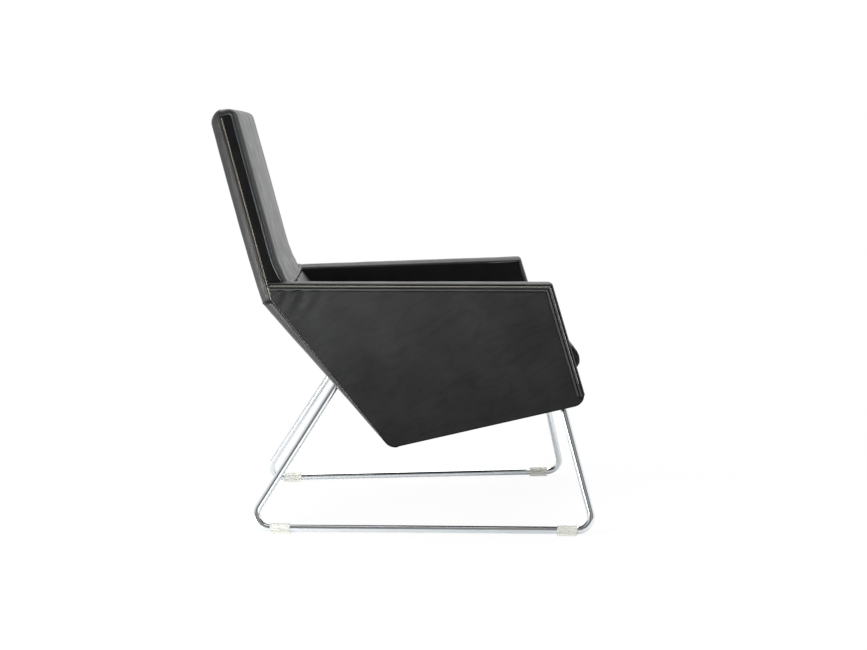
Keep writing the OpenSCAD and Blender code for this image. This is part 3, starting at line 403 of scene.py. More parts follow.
def quads(m, n, flip=False, wrap=False):
    """Faces of a grid of m rows and n columns, closed round its columns if wrap."""
    f = []
    for i in range(m - 1):
        for j in range(n if wrap else n - 1):
            k = (j + 1) % n
            q = (i * n + j, i * n + k, (i + 1) * n + k, (i + 1) * n + j)
            f.append(q[::-1] if flip else q)
    return f


def grid_piece(name, P, mat, flip=False, **kw):
    """A sheet through a grid of points."""
    P = np.asarray(P, float)
    return piece(name, P.reshape(-1, 3), quads(P.shape[0], P.shape[1], flip), mat, **kw)


def normals(P):
    """Unit normals of a grid of points, its rows crossed with its columns."""
    du = np.gradient(P, axis=0)
    dv = np.gradient(P, axis=1)
    n = np.cross(du, dv)
    return n / np.maximum(np.linalg.norm(n, axis=2, keepdims=True), 1e-9)


def relief(P, amp, wave, seed=0.0, stretch=(1, 1, 1), octaves=3):
    """Soft noise over a grid of points, in mm: amp high, about wave long."""
    at = P * np.array(stretch) / wave
    at[..., 0] += seed
    return amp * np.array([[noise.fractal(Vector(p), 1.0, 2.0, octaves) for p in row] for row in at])


def segment_distance(p, a, b):
    t = np.clip(((p - a) @ (b - a)) / ((b - a) @ (b - a)), 0, 1)
    return np.linalg.norm(p - (a + np.outer(t, b - a)), axis=1)


def resample(path, n):
    """Points spread evenly along a path, n of them, or at the shares that n lists."""
    path = np.asarray(path, float)
    s = np.concatenate([[0], np.cumsum(np.linalg.norm(np.diff(path, axis=0), axis=1))])
    t = np.asarray(n if hasattr(n, "__len__") else np.linspace(0, 1, n)) * s[-1]
    return np.stack([np.interp(t, s, path[:, k]) for k in range(path.shape[1])], axis=1)


def across(path, towards):
    """Unit normals of a flat path, on the side that towards points to."""
    tan = np.gradient(path, axis=0)
    tan /= np.linalg.norm(tan, axis=1, keepdims=True)
    n = np.stack([-tan[:, 1], tan[:, 0]], axis=1)
    return n * np.sign(n @ towards)[:, None]


def eased(n, e=0.5):
    """n shares from 0 to 1 that crowd towards both ends."""
    t = np.linspace(0, 1, n)
    return (1 - e) * t + e * 0.5 * (1 - np.cos(np.pi * t))


# a stitch's rings, as place along it, width and lift over the leather, in shares of its size
STITCH_RINGS = ((-0.5, 0.0, -0.6), (-0.46, 0.6, -0.15), (-0.3, 0.95, 0.25), (0, 1.0, 0.4),
                (0.3, 0.95, 0.25), (0.46, 0.6, -0.15), (0.5, 0.0, -0.6))


def stitches(name, path, out, mat, length=3.2, gap=1.3, r=0.42, zigzag=0.0, body="chair"):
    """A row of sewn stitches along a path, each a small capsule; out is the way the surface faces."""
    path = np.asarray(path, float)
    out = np.asarray(out, float)
    total = float(np.sum(np.linalg.norm(np.diff(path, axis=0), axis=1)))
    count = max(2, int(total / (length + gap)))
    back, mid, after = (resample(path, (np.arange(count) + k) / count) for k in (0.4, 0.5, 0.6))
    n_out = resample(out, (np.arange(count) + 0.5) / count) if out.ndim == 2 else np.tile(out, (count, 1))
    verts, faces = [], []
    for i in range(count):
        t = unit(after[i] - back[i])
        w = unit(np.cross(n_out[i], t))
        n = np.cross(t, w)
        c = mid[i]
        if zigzag:
            a = math.radians(zigzag if i % 2 else -zigzag)
            t, w = t * math.cos(a) + w * math.sin(a), w * math.cos(a) - t * math.sin(a)
        k0 = len(verts)
        for u, wide, lift in STITCH_RINGS:
            for k in range(6):
                a = TAU * k / 6
                rr = r * max(wide, 0.15)
                high = rr * math.sin(a) + lift * r
                verts.append(c + t * u * length + w * rr * math.cos(a) + n * high)
        faces += [tuple(k0 + k for k in f) for f in quads(7, 6, wrap=True)]
        faces.append(tuple(k0 + k for k in range(5, -1, -1)))
        faces.append(tuple(k0 + 36 + k for k in range(6)))
    return piece(name, verts, faces, mat, body=body)


def tube(name, path, r, mat, n=10, body="chair", **kw):
    """A round welt along a path, closed at its ends."""
    path = np.asarray(path, float)
    t = np.gradient(path, axis=0)
    t /= np.linalg.norm(t, axis=1, keepdims=True)
    ref = np.array([1.0, 0, 0]) if abs(t[0][0]) < 0.8 else np.array([0, 0, 1.0])
    verts = []
    for p, d in zip(path, t):
        a = ref - d * (ref @ d)
        a /= np.linalg.norm(a)
        ref = a
        b = np.cross(d, a)
        verts += [p + r * (a * math.cos(TAU * k / n) + b * math.sin(TAU * k / n)) for k in range(n)]
    faces = quads(len(path), n, wrap=True)
    faces += [tuple(range(n))[::-1], tuple(range((len(path) - 1) * n, len(path) * n))]
    return piece(name, verts, faces, mat, body=body, **kw)


# flat sides
bottom = [E] + fillet(C, D, E, CORNER_R)[::-1] + fillet(B, C, D, CORNER_R)[::-1]
front_end = bottom[-1]
outline = [A, B, front_end] + bottom[::-1][1:] + [A]


def edge_distance(P):
    """How far each point lies from the side's outline."""
    edges = [(a, b) for a, b in zip(outline[:-1], outline[1:]) if np.linalg.norm(b - a) > 1e-6]
    return np.min([segment_distance(P, a, b) for a, b in edges], axis=0)


# the side panel's rolled edge, the puckers' place near the back's foot and the strip under the seam
PANEL_EDGE_R, PUCKER_Y, PUCKER_Z, SEAM_STRIP = 3.2, 545, 520, 16.5


def side_panel():
    """The outer side leather as one grid from the arm's top edge to the lower outline."""
    m, n = 150, 96
    t, s = eased(m, 0.75), eased(n, 0.8)
    top_line = A + np.outer(t, B - A)
    low_line = resample(bottom, t)
    P2 = top_line[:, None, :] * (1 - s)[None, :, None] + low_line[:, None, :] * s[None, :, None]
    d = edge_distance(P2.reshape(-1, 2)).reshape(m, n)
    k = np.clip(1 - d / PANEL_EDGE_R, 0, 1)
    roll = PANEL_EDGE_R * (1 - np.sqrt(1 - np.minimum(k * k, 0.9999)))
    P = np.zeros((m, n, 3))
    P[..., 1:] = P2
    P[..., 0] = outer_x(P2.transpose(2, 0, 1))
    ease = np.clip(d / 40, 0, 1)
    slant = P2 @ v2(0.86, 0.5)
    along = P2 @ v2(-0.5, 0.86)
    W = relief(P, 1.0, 95.0, 3.1, (1, 0.55, 1.0)) * ease
    # slack near the back's foot: short puckers that run down from the arm seam
    puck = np.exp(-((P2[..., 0] - PUCKER_Y) / 55) ** 2 - ((P2[..., 1] - PUCKER_Z) / 28) ** 2)
    W += 1.3 * puck * np.sin(slant / 5.2 + 0.4 * np.sin(along / 17))
    # the leather is drawn tight along the slanting rear and swells a little in the middle
    W += 1.3 * np.clip(d / 130, 0, 1) ** 0.7 - 0.35 * np.exp(-((d - 14) / 6) ** 2)
    points = P2.reshape(-1, 2)
    d_top = np.minimum(segment_distance(points, A, B), segment_distance(points, B, front_end))
    under = 1.7 * np.clip((SEAM_STRIP - d_top.reshape(m, n)) / 3.0, 0, 1)
    P[..., 0] += W * np.clip(d / 6, 0, 1) - roll - 0.2 - under
    return P


side = side_panel()


def hem():
    """The side leather's turned edge under the body, drawn in along the lower outline."""
    path = resample(bottom, 120)
    return np.array([[(outer_x(p) - depth, *p) for p in path] for depth in (3.4, 8.0, 16.0, 25.5)])


# points of the raised seam's run along the arm's top, round its corner and down its front
SEAM_TOP, SEAM_BEND, SEAM_FRONT = 160, 9, 70


def seam_path(w):
    """The seam's run at depth w below the arm's edge: rear, front corner, down the front."""
    corner = meet(B + w * ARM_IN, ARM_DIR, B + w * FRONT_IN, FRONT_DIR)
    start = meet(B + w * ARM_IN, ARM_DIR, A, UP) - ARM_DIR * 1.0
    end = front_end + w * FRONT_IN + FRONT_DIR * 6
    r = max(3.8 - w * 0.3, 0.8)
    a, b = corner + ARM_DIR * r, corner + FRONT_DIR * r
    bend = [mix(mix(a, corner, t), mix(corner, b, t), t) for t in np.linspace(0, 1, SEAM_BEND)]
    return line(start, a, SEAM_TOP - 1) + bend + line(b, end, SEAM_FRONT - 1, 1) + [end]


# the seam's section, as depth below the arm's edge and height over the side: a welt, a fold and a hem
SEAM_SECTION = [(0.0, -2.4), (-0.2, 0.2), (0.1, 1.6), (0.8, 2.3), (1.7, 2.3), (2.4, 1.7), (2.8, 0.7),
                (3.1, 0.0), (3.6, 0.2), (3.9, 1.3), (4.5, 2.3), (5.6, 2.8), (6.8, 2.9), (8.0, 2.8),
                (9.1, 2.3), (9.7, 1.3), (10.0, 0.2), (10.4, -1.0), (11.2, -1.0), (11.6, -0.5),
                (12.4, -0.35), (13.8, -0.35), (15.5, -0.5), (17.0, -1.0)]
# the section's steps that lie in a groove, coloured dark as painted shade
GROOVE_SHADE_STEPS = (5, 6, 7, 8, 15, 16, 17, 18)


def arm_seam():
    """The raised seam, its section carried along the arm's top and front, with a slight waver."""
    P = np.array([[(outer_x(p) + h, *p) for p in seam_path(w)] for w, h in SEAM_SECTION])
    P[1:-1, :, 0] += relief(P, 0.28, 34.0, 9.0, octaves=2)[1:-1]
    return P


seam = arm_seam()


def seam_row(w, h):
    """A line along the seam, w below the arm's edge and h over the side."""
    return np.array([(outer_x(p) + h, *p) for p in seam_path(w)][2:-8])


# arms
# how far before the slanting rear the arm's inner leather ends, and how round the arm's inner edge is
TUCK, ARM_EDGE_R = 40, 9.0
# places across the arm's top, outer edge to inner edge
ACROSS_ARM = (0.0, 0.03, 0.08, 0.16, 0.28, 0.42, 0.58, 0.72, 0.86, 1.0)


def arm_cover():
    """Outer edge to inner edge over the arm's top and down its front, then the flat inner face."""
    P2 = np.array(seam_path(0.0))
    n_in = across(P2, v2(0.3, -0.95))
    r = ARM_EDGE_R
    cols = []
    for p, n in zip(P2, n_in):
        w_out, w_in = outer_x(p), inner_x(p)
        pts = []
        for t in ACROSS_ARM:
            x = mix(w_out - 0.6, w_in + r, t)
            crown = 1.5 * (1 - (2 * t - 1) ** 4) - 1.6 * math.exp(-t / 0.025)
            pts.append((x, p - n * crown))
        for k in range(1, 7):
            a = math.radians(90 * k / 6)
            q = p + n * r * (1 - math.cos(a))
            pts.append((inner_x(q) + r * (1 - math.sin(a)), q))
        cols.append([(x, *q) for x, q in pts])
    band = np.array(cols)
    band[:, 1:9, 2] += relief(band, 0.5, 60.0, 21.0)[:, 1:9]
    rim = band[:, -1, 1:]
    on_deck_line = (rim - DECK_O) @ DECK_UP + 8
    tucked = REAL_D + TUCK * REAR_IN
    behind = (rim - tucked) @ REAR_IN
    i0 = int(np.argmax(behind > 0))
    i2 = int(np.argmax((on_deck_line < 0) & (np.arange(len(rim)) > SEAM_TOP)))
    i1 = SEAM_TOP - 1 + SEAM_BEND // 2
    top_e, right_e = rim[i0:i1 + 1], rim[i1:i2 + 1]
    foot_f = rim[i2]
    foot_b = meet(tucked, REAR_DIR, foot_f, DECK_DIR)
    low_e = resample([foot_b, foot_f], len(top_e))
    left_e = resample([top_e[0], foot_b], len(right_e))
    u = np.linspace(0, 1, len(top_e))[:, None, None]
    v = np.linspace(0, 1, len(right_e))[None, :, None]
    F = ((1 - v) * top_e[:, None] + v * low_e[:, None] + (1 - u) * left_e[None] + u * right_e[None]
         - (1 - u) * (1 - v) * top_e[0] - u * (1 - v) * top_e[-1] - (1 - u) * v * foot_b - u * v * foot_f)
    face = np.zeros((*F.shape[:2], 3))
    face[..., 1:] = F
    d = np.minimum(1, np.minimum(u * (1 - u), v * (1 - v))[..., 0] * 14)
    lift = 1.2 * d + relief(face, 1.3, 80.0, 33.0, (1, 1, 0.6)) * d
    face[..., 0] = inner_x(F.transpose(2, 0, 1)) - lift
    verts = list(band.reshape(-1, 3)) + list(face.reshape(-1, 3))
    faces = quads(band.shape[0], band.shape[1])
    split = len(faces)
    k = band.shape[0] * band.shape[1]
    faces += [tuple(i + k for i in f[::-1]) for f in quads(face.shape[0], face.shape[1])]
    return verts, faces, split


arm = arm_cover()


# back
# rows of the back's front face: between the arms, up the back and round its top edge
LOW_ROWS, FACE_ROWS, TOP_ROWS = 24, 44, 8
ABOVE_ARM = LOW_ROWS + 2
BACK_BEND_R, BACK_TOP_R, BACK_EDGE_R = 200.0, 20, 15.0


def back_path(inset, low_t):
    """The front face's run from the deck to the back's top edge, inset from its fullest form."""
    f, top_s, r = inset - BACK_DEPTH, BACK_TOP - inset, max(BACK_TOP_R - inset, 0.3)
    low, base = REAL_D + (low_t - inset) * REAR_IN, on_back(0, f)
    x = meet(low, REAR_DIR, base, UP)
    start = meet(low, REAR_DIR, DECK_O, DECK_DIR)
    tip = on_back(top_s, f)
    arm_low = meet(low, REAR_DIR, B - 0.1 * ARM_IN, ARM_DIR)
    arm_high = meet(low, REAR_DIR, B - 0.5 * ARM_IN, ARM_DIR)
    bend = fillet(start, x, tip, BACK_BEND_R + inset, 14)
    up_to = on_back(top_s - r, f)
    low_run = line(start, arm_low, LOW_ROWS) + [arm_low, arm_high, mix(arm_high, bend[0], 0.5)]
    high_run = line(bend[-1], up_to, FACE_ROWS, 1)
    top_run = fillet(bend[-1], tip, on_back(top_s, 0), r, TOP_ROWS)
    top_run += [on_back(top_s, d) for d in (-7, -2, 0)]
    return low_run + bend + high_run + top_run


# columns of a padded face: round each side's roll, between the rolls and in all
ARC, MID = 9, 54
NCOL = 2 * ARC + MID + 1


def col(j):
    """The side whose roll a column belongs to, 0 for none, and its angle round that roll."""
    if j < ARC:
        return -1, 90 * j / ARC
    if j > ARC + MID:
        return 1, 90 * (NCOL - 1 - j) / ARC
    return 0, 90.0


def col_x(j, w, r):
    """Place across of a column, for the half width w and a roll of radius r."""
    sx, a = col(j)
    if sx == 0:
        return (w - r) * (2 * (j - ARC) / MID - 1)
    return sx * (w - r * (1 - COS(a)))


def inside(columns):
    """A share for each column of a padded face: 1, falling to 0 over the last columns of each side."""
    from_mid = np.abs(np.arange(NCOL) - NCOL / 2)
    return np.clip((NCOL / 2 - from_mid) / columns, 0, 1)[None, :]


col_rise = lambda j: SIN(col(j)[1])
col_crown = lambda j: 4 * (1 - (2 * (j - ARC) / MID - 1) ** 2) if col(j)[0] == 0 else 0.0


def front_w(p, i):
    """Half width of the front face at its row i: the back's above the arms, the seat's between them."""
    if i > LOW_ROWS:
        return back_x((p - A) @ UP, (p - A) @ AFT)
    return inner_x(p) - 0.3


# heights over the floor: the back's top, the rise of its ridges, its sag, and where it enters the arms
TOP_Z, RIDGE_Z, SAG_Z, FOLD_Z, PINCH_Z = 925, 870, 905, 575, 556


def eared(P):
    """The top of each side of the back stands up as a ridge beside the sagging top."""
    x, z = np.abs(P[..., 0]), P[..., 2]
    w = BACK_TOP_W + (TOP_Z - z) * 0.05
    k = np.clip((x - w + 17) / 9, 0, 1)
    P[..., 2] += 4.2 * np.clip((z - RIDGE_Z) / 45, 0, 1) ** 2 * k * k * (3 - 2 * k)
    return P


def back_front():
    """The back's front leather, from the deck up between the arms and over the top edge."""
    edge = back_path(BACK_EDGE_R, BACK_FACE)
    insets = [BACK_EDGE_R - BACK_EDGE_R * col_rise(j) - col_crown(j) for j in range(NCOL)]
    paths = [back_path(inset, BACK_FACE) for inset in insets]
    P = np.array([[(col_x(j, front_w(edge[i], i), BACK_EDGE_R), *paths[j][i]) for j in range(NCOL)]
                  for i in range(len(edge))])
    P = eared(P)
    high = np.clip((P[..., 2] - SAG_Z) / 22, 0, 1)
    sag = np.array([col_crown(j) + 0.8 * col_rise(j) for j in range(NCOL)])
    P[..., 2] -= high * sag[None, :] * 0.8
    N = normals(P)
    rows, cols = P.shape[:2]
    share = np.linspace(0, 1, rows)[:, None]
    x = P[..., 0]
    within = inside(8) * np.clip((1 - share) * 12, 0, 1)
    soft = relief(P, 1.0, 120.0, 5.0, (1.5, 0.5, 0.5))
    bands = 0.45 * np.sin(x / 13.5 + 1.2 * np.sin(x / 41.0)) + 0.25 * np.sin(x / 6.1 + 0.02 * P[..., 2])
    fold = np.exp(-((P[..., 2] - FOLD_Z) / 26) ** 2)
    ripple = 0.55 * np.sin((P[..., 2] + 0.05 * x + 6 * np.sin(x / 70)) / 5.6) * fold
    # the face is drawn in where it goes down between the arms
    pinch = -2.2 * np.exp(-((P[..., 2] - PINCH_Z) / 9) ** 2) * np.clip((np.abs(x) - 120) / 70, 0, 1)
    disp = (0.8 * soft + bands * 0.9 + ripple + pinch) * within
    sign = -1.0 if N[rows // 2, cols // 2, 1] > 0 else 1.0
    return P + sign * N * disp[..., None]


def gusset():
    """The back's side strip, between its front face and the seam behind."""
    edge = back_path(BACK_EDGE_R, BACK_FACE)[ABOVE_ARM:]
    seam_line = [on_back(np.clip((p - A) @ UP, 0.0, BACK_TOP - 1.0), 0) for p in edge]
    rows = []
    for t in eased(14, 0.3):
        row = []
        for p, q in zip(edge, seam_line):
            m = mix(q, p, t)
            s, d = float((m - A) @ UP), float((m - A) @ AFT)
            row.append((back_x(s, d) - 0.1 + 1.3 * math.sin(math.pi * t) * (1 - t), *m))
        rows.append(row)
    P = np.array(rows)
    P[1:-1, :, 0] += relief(P, 0.5, 40.0, 31.0)[1:-1]
    return eared(P)


# rows up the rear before its top roll, round the lower corner and up the slanting rear
REAR_ROWS, CORNER_ROWS, SLANT_ROWS = 46, 10, 44
# the rear's rolls at the top and the sides, and its fullness at the kink and high up
REAR_TOP_R, REAR_SIDE_R, REAR_LOW, REAR_FULL = 25, 25, 22, 25.5
KINK_OUT = unit(AFT - REAR_IN)
LOW_S = float((E - A) @ UP)
seam_x = lambda s: back_x(s, 0) if s > 0 else outer_x(on_back(s, 0))


def softened(rows, amp, wave, seed, first, last):
    """A rear face with soft relief that fades at its sides and over its first and last rows."""
    P = np.array(rows)
    N = normals(P)
    sign = 1.0 if N[len(P) // 2, NCOL // 2, 1] > 0 else -1.0
    w = relief(P, amp, wave, seed, (1, 0.7, 0.7)) * inside(9)
    i = np.arange(len(P))
    ends = np.clip(np.minimum(i / first, (len(P) - 1 - i) / last), 0, 1)[:, None]
    return P + sign * N * (w * ends)[..., None]


def rear_back():
    """The outer back's leather, from the kink up and round the top edge."""
    rows = []
    for i in range(REAR_ROWS + ARC + 1):
        a = 90.0 if i < REAR_ROWS else 90 * (REAR_ROWS + ARC - i) / ARC
        t = max(i - REAR_ROWS, 0) / ARC
        row = []
        for j in range(NCOL):
            if i < REAR_ROWS:
                s = mix(LOW_S, BACK_TOP - REAR_TOP_R, i / REAR_ROWS)
            else:
                s = BACK_TOP - REAR_TOP_R * (1 - COS(a)) - BACK_EDGE_R * (1 - col_rise(j)) * t
            full = mix(REAR_LOW, REAR_FULL, min(max(s + 38, 0) / 90, 1))
            d = (full + col_crown(j)) * col_rise(j) * SIN(a)
            lean = min(i / 5.0, 1.0)
            p = on_back(s, 0) + d * unit(mix(KINK_OUT, AFT, lean))
            row.append((col_x(j, seam_x(s), mix(REAR_SIDE_R, BACK_EDGE_R, t)), *p))
        rows.append(row)
    return eared(softened(rows, 1.1, 110.0, 51.0, 6, 6))


def rear_low():
    """The slanting lower rear's leather, from under the lower corner up to the kink."""
    bend = fillet(C, D, E, CORNER_R, CORNER_ROWS)
    base = bend + line(bend[-1], E, SLANT_ROWS, 1) + [E]
    rows = []
    for i, p0 in enumerate(base):
        t = max(i - CORNER_ROWS, 0) / SLANT_ROWS
        a = mix(-90 - UNDER_SLOPE, REAR_ANGLE - 90, min(i / CORNER_ROWS, 1))
        out = v2(COS(a), SIN(a))
        lean = max(0.0, (t - 0.9) / 0.1)
        out = unit(mix(out, KINK_OUT, lean))
        row = []
        for j in range(NCOL):
            d = (mix(2.3, REAR_LOW, t) + col_crown(j) * t) * col_rise(j)
            p = p0 + d * out
            row.append((col_x(j, outer_x(p0), REAR_SIDE_R), *p))
        rows.append(row)
    return softened(rows, 0.9, 90.0, 71.0, 14, 5)


# seat cushion
# along the deck: the wooden deck's depth, the lower back's thickness and the cushion's gap before it
DECK_DEPTH, LOWER_BACK, GAP = 466.3, 62, 7
# the nose: its foremost height, how far its rounding runs below and above, and its stand before the rail
NOSE_H, NOSE_UNDER, NOSE_OVER, NOSE_OUT = 22, 16, 58, 18
CUSHION_H, CUSHION_CROWN, CUSHION_SIDE_R, CUSHION_REAR_R = 92, 14, 7.0, 11
REAR_Q = DECK_DEPTH - LOWER_BACK / SIN(FACE) - GAP
NOSE_Q = NOSE_H * TAN(FRONT_LEAN - DECK_SLOPE) - NOSE_OUT


def cushion_q(h, e):
    """Where the cushion's rear wall is at height h, inset by e."""
    return REAR_Q + h / TAN(FACE) - e / SIN(FACE)


def arc(mid, reach, rise, start, n):
    """A quarter of an oval about mid in n steps, clockwise from start degrees."""
    angles = [start - 90 * i / n for i in range(n + 1)]
    return [v2(mid[0] + reach * COS(a), mid[1] + rise * SIN(a)) for a in angles]


def cushion_profile(e, crown):
    """The cushion's outline at one column, inset by e, with its top raised by crown."""
    top_h, low_h, r = CUSHION_H - e, 0.3 + e, max(CUSHION_REAR_R - e, 0.3)
    a, b = v2(cushion_q(top_h, e), top_h), v2(cushion_q(low_h, e), low_h)
    m, n = v2(NOSE_Q + NOSE_OVER, top_h), v2(NOSE_Q + NOSE_UNDER, low_h)
    top_bend, low_bend = fillet(m, a, b, r, 5), fillet(a, b, n, r, 5)
    loop = arc((NOSE_Q + NOSE_UNDER, NOSE_H), NOSE_UNDER - e, NOSE_H - low_h, 270, 6)
    loop += arc((NOSE_Q + NOSE_OVER, NOSE_H), NOSE_OVER - e, top_h - NOSE_H, 180, 10)[1:]
    loop += line(m, top_bend[0], 12, 1) + top_bend + line(top_bend[-1], low_bend[0], 4, 1)
    loop += low_bend + line(low_bend[-1], n, 10, 1)
    out = []
    for p in loop:
        along = 2 * (p[0] - NOSE_Q) / (cushion_q(top_h, 0) - NOSE_Q) - 1
        up = max(0, (p[1] - NOSE_H) / (top_h - NOSE_H)) * max(0, 1 - along ** 2)
        out.append(v2(p[0], p[1] + crown * CUSHION_CROWN * up))
    return out


def cushion_w(q, h, inset):
    """The cushion's half width, a little hollow along its middle."""
    t = min(max(q / REAR_Q, 0), 1)
    return inner_x(on_deck(q, h)) - 1.5 - 5 * math.sin(math.pi * t) - inset


def cushion(inset):
    """The cushion's closed form as rings from side to side."""
    ring_pts = []
    r = CUSHION_SIDE_R
    for j in [*range(ARC), *range(ARC, ARC + MID + 1, 3), *range(ARC + MID + 1, NCOL)]:
        ring = []
        for q, h in cushion_profile(inset + r * (1 - col_rise(j)), col_crown(j) / 4):
            o = on_deck(q, h)
            ring.append((col_x(j, cushion_w(q, h, inset), r), o[0], o[1]))
        ring_pts.append(ring)
    return np.array(ring_pts)


# the cloth's settings: how tight and stiff the leather is, and the pressure that fills it
VOXEL, CLOTH_FRAMES, FARTHEST = 0.0055, 20, 0.024
CLOTH = dict(quality=5, mass=0.4, tension_stiffness=22, compression_stiffness=22, shear_stiffness=9,
             bending_stiffness=1.2, use_pressure=True, uniform_pressure_force=3.6)


def vertices(me):
    return np.array([v.co[:] for v in me.vertices])


def inflate(o, start):
    """Where the vertices come to lie when the leather is filled by pressure, as a cloth."""
    cloth = o.modifiers.new("cloth", "CLOTH")
    for key, value in CLOTH.items():
        setattr(cloth.settings, key, value)
    cloth.settings.effector_weights.gravity = 0
    cloth.collision_settings.use_collision = False
    scene.frame_start, scene.frame_end = 1, CLOTH_FRAMES
    for f in range(1, CLOTH_FRAMES + 1):
        scene.frame_set(f)
    filled = vertices(o.evaluated_get(bpy.context.evaluated_depsgraph_get()).data)
    o.modifiers.remove(cloth)
    scene.frame_set(1)
    move = filled - start
    size = np.linalg.norm(move, axis=1, keepdims=True)
    return start + move * np.minimum(1, FARTHEST / np.maximum(size, 1e-9))


def settle(p):
    """The filled leather held by what it touches, with its seams and sitting creases pressed in."""
    yz = p[:, 1:] - DECK_O
    q, h = yz @ DECK_DIR, yz @ DECK_UP
    # the deck below, the highest it swells, and the back behind
    h = np.maximum(h, 0.4 + 0.8 * np.exp(-((q - NOSE_Q) / 30) ** 2))
    top_h = CUSHION_H + CUSHION_CROWN * 1.15
    h = np.where(h > top_h, top_h + (h - top_h) * 0.3, h)
    q = np.maximum(np.minimum(q, REAR_Q + 1.5 + h / TAN(FACE)), NOSE_Q - 7)
    # the nose stands forward most at a third of its height
    q = q - 6.5 * np.exp(-((h - 32) / 26) ** 2) * np.clip((32 - q) / 30, 0, 1)
    # the arms beside it
    w = inner_x(on_deck(q, h)) - 1.4
    x = np.sign(p[:, 0]) * np.minimum(np.abs(p[:, 0]), w)
    # sewn seams: one runs round each side of the cushion, where top and side leather meet
    side_in = w - np.abs(x)
    seam_at = 17 + 2 * np.sin(np.pi * np.clip(q / REAR_Q, 0, 1))
    groove = 2.4 * np.exp(-((side_in - seam_at) / 3.2) ** 2)
    to_mid = np.stack([(NOSE_Q + REAR_Q) / 2 - q, CUSHION_H / 2 - h], axis=1)
    to_mid /= np.maximum(np.linalg.norm(to_mid, axis=1, keepdims=True), 1e-9)
    on_top = h > CUSHION_H - 8
    on_low = h < 4
    dh = np.where(on_top, -groove, np.where(on_low, 0, to_mid[:, 1] * groove))
    dq = np.where(on_top | on_low, 0, to_mid[:, 0] * groove)
    # soft sitting creases across the top, and a hollow where one sits
    sit = np.exp(-((q - 260) / 130) ** 2 - (x / 150) ** 2)
    crease = np.array([noise.fractal(Vector((a / 150, b / 55, 3.3)), 1.0, 2.0, 3) for a, b in zip(x, q)])
    dh += np.where(h > 60, -5.0 * sit + 1.6 * crease * np.clip((h - 60) / 25, 0, 1), 0)
    return np.stack([x, *on_deck(q + dq, h + dh)], axis=1)


def cushion_piece():
    """The seat cushion's leather: a closed form filled by pressure, then settled in its place."""
    P = cushion(2.5)
    m, n = P.shape[:2]
    verts = list(P.reshape(-1, 3)) + [P[0].mean(axis=0), P[-1].mean(axis=0)]
    faces = quads(m, n, wrap=True)
    faces += [(m * n, (k + 1) % n, k) for k in range(n)]
    faces += [(m * n + 1, (m - 1) * n + k, (m - 1) * n + (k + 1) % n) for k in range(n)]
    # the cushion wears the duller leather copy, as painted shade
    o = piece("seat_cushion_leather", verts, faces, LEATHER_SEAT_SHADE, body="seat_cushion",
              replaces=("cushion_cover", "cushion_core"), fill=0.8)
    bpy.ops.object.select_all(action="DESELECT")
    bpy.context.view_layer.objects.active = o
    o.select_set(True)
    remesh = o.modifiers.new("remesh", "REMESH")
    remesh.mode = "VOXEL"
    remesh.voxel_size = VOXEL
    bpy.ops.object.modifier_apply(modifier="remesh")
    filled = vertices(o.data)
    filled = inflate(o, filled)
    for v, c in zip(o.data.vertices, world(settle(filled * 1000 - np.array([0, CY, 0])))):
        v.co = c
    smooth = o.modifiers.new("smooth", "SMOOTH")
    smooth.factor, smooth.iterations = 0.4, 3
    bpy.ops.object.modifier_apply(modifier="smooth")
    finer = o.modifiers.new("sub", "SUBSURF")
    finer.levels = finer.render_levels = 1
    bpy.ops.object.modifier_apply(modifier="sub")
    o.data.shade_smooth()
    return o


# rows of stitches on the cushion, by how far they lie inside its sides
CUSHION_STITCHES = (("outer", 11.5), ("inner", 22.5))


def cushion_seams(o):
    """Stitch rows laid on the finished cushion beside each side's seam."""
    me = o.data
    tree = BVHTree.FromPolygons([v.co for v in me.vertices], [tuple(p.vertices) for p in me.polygons])
    for sx, word in ((-1, "left"), (1, "right")):
        for name, off in CUSHION_STITCHES:
            pts, outs = [], []
            for q, h in cushion_profile(0, 0.15)[3:34]:
                g = on_deck(q, h)
                w = inner_x(g) - 1.5 - off
                place, normal = tree.find_nearest(Vector(world((sx * w, g[0], g[1]))))[:2]
                if place is not None:
                    c = np.array(place[:]) * 1000 - np.array([0, CY, 0])
                    pts.append(c + np.array(normal[:]) * 0.25)
                    outs.append(np.array(normal[:]))
            stitches(f"cushion_stitches_{name}_{word}", resample(np.array(pts), 220),
                     resample(np.array(outs), 220), DARK_THREAD, length=3.4, gap=1.4, r=0.42,
                     body="seat_cushion")


def front_foot():
    """Leather round the lower front corner of a side, between its panel and the front apron."""
    turn = fillet(B, C, D, CORNER_R)
    path = np.array([front_end - FRONT_DIR * 10] + turn + [turn[-1] + unit(D - C) * 45])
    path = path + 1.8 * across(path, v2(1, 1))
    return np.array([[(mix(inner_x(p) - 3, outer_x(p) - 3, t), *p) for p in path]
                     for t in np.linspace(0, 1, 6)])


def back_tuck():
    """Leather that closes the narrow channel between the lower back and an arm."""
    path = back_path(9.0, BACK_FACE)[:ABOVE_ARM]
    reach = [back_face[i, :, 0].max() - 12 for i in range(len(path))]
    return np.array([[(mix(r, inner_x(p) + 2, t), *p) for r, p in zip(reach, path)]
                     for t in np.linspace(0, 1, 6)])


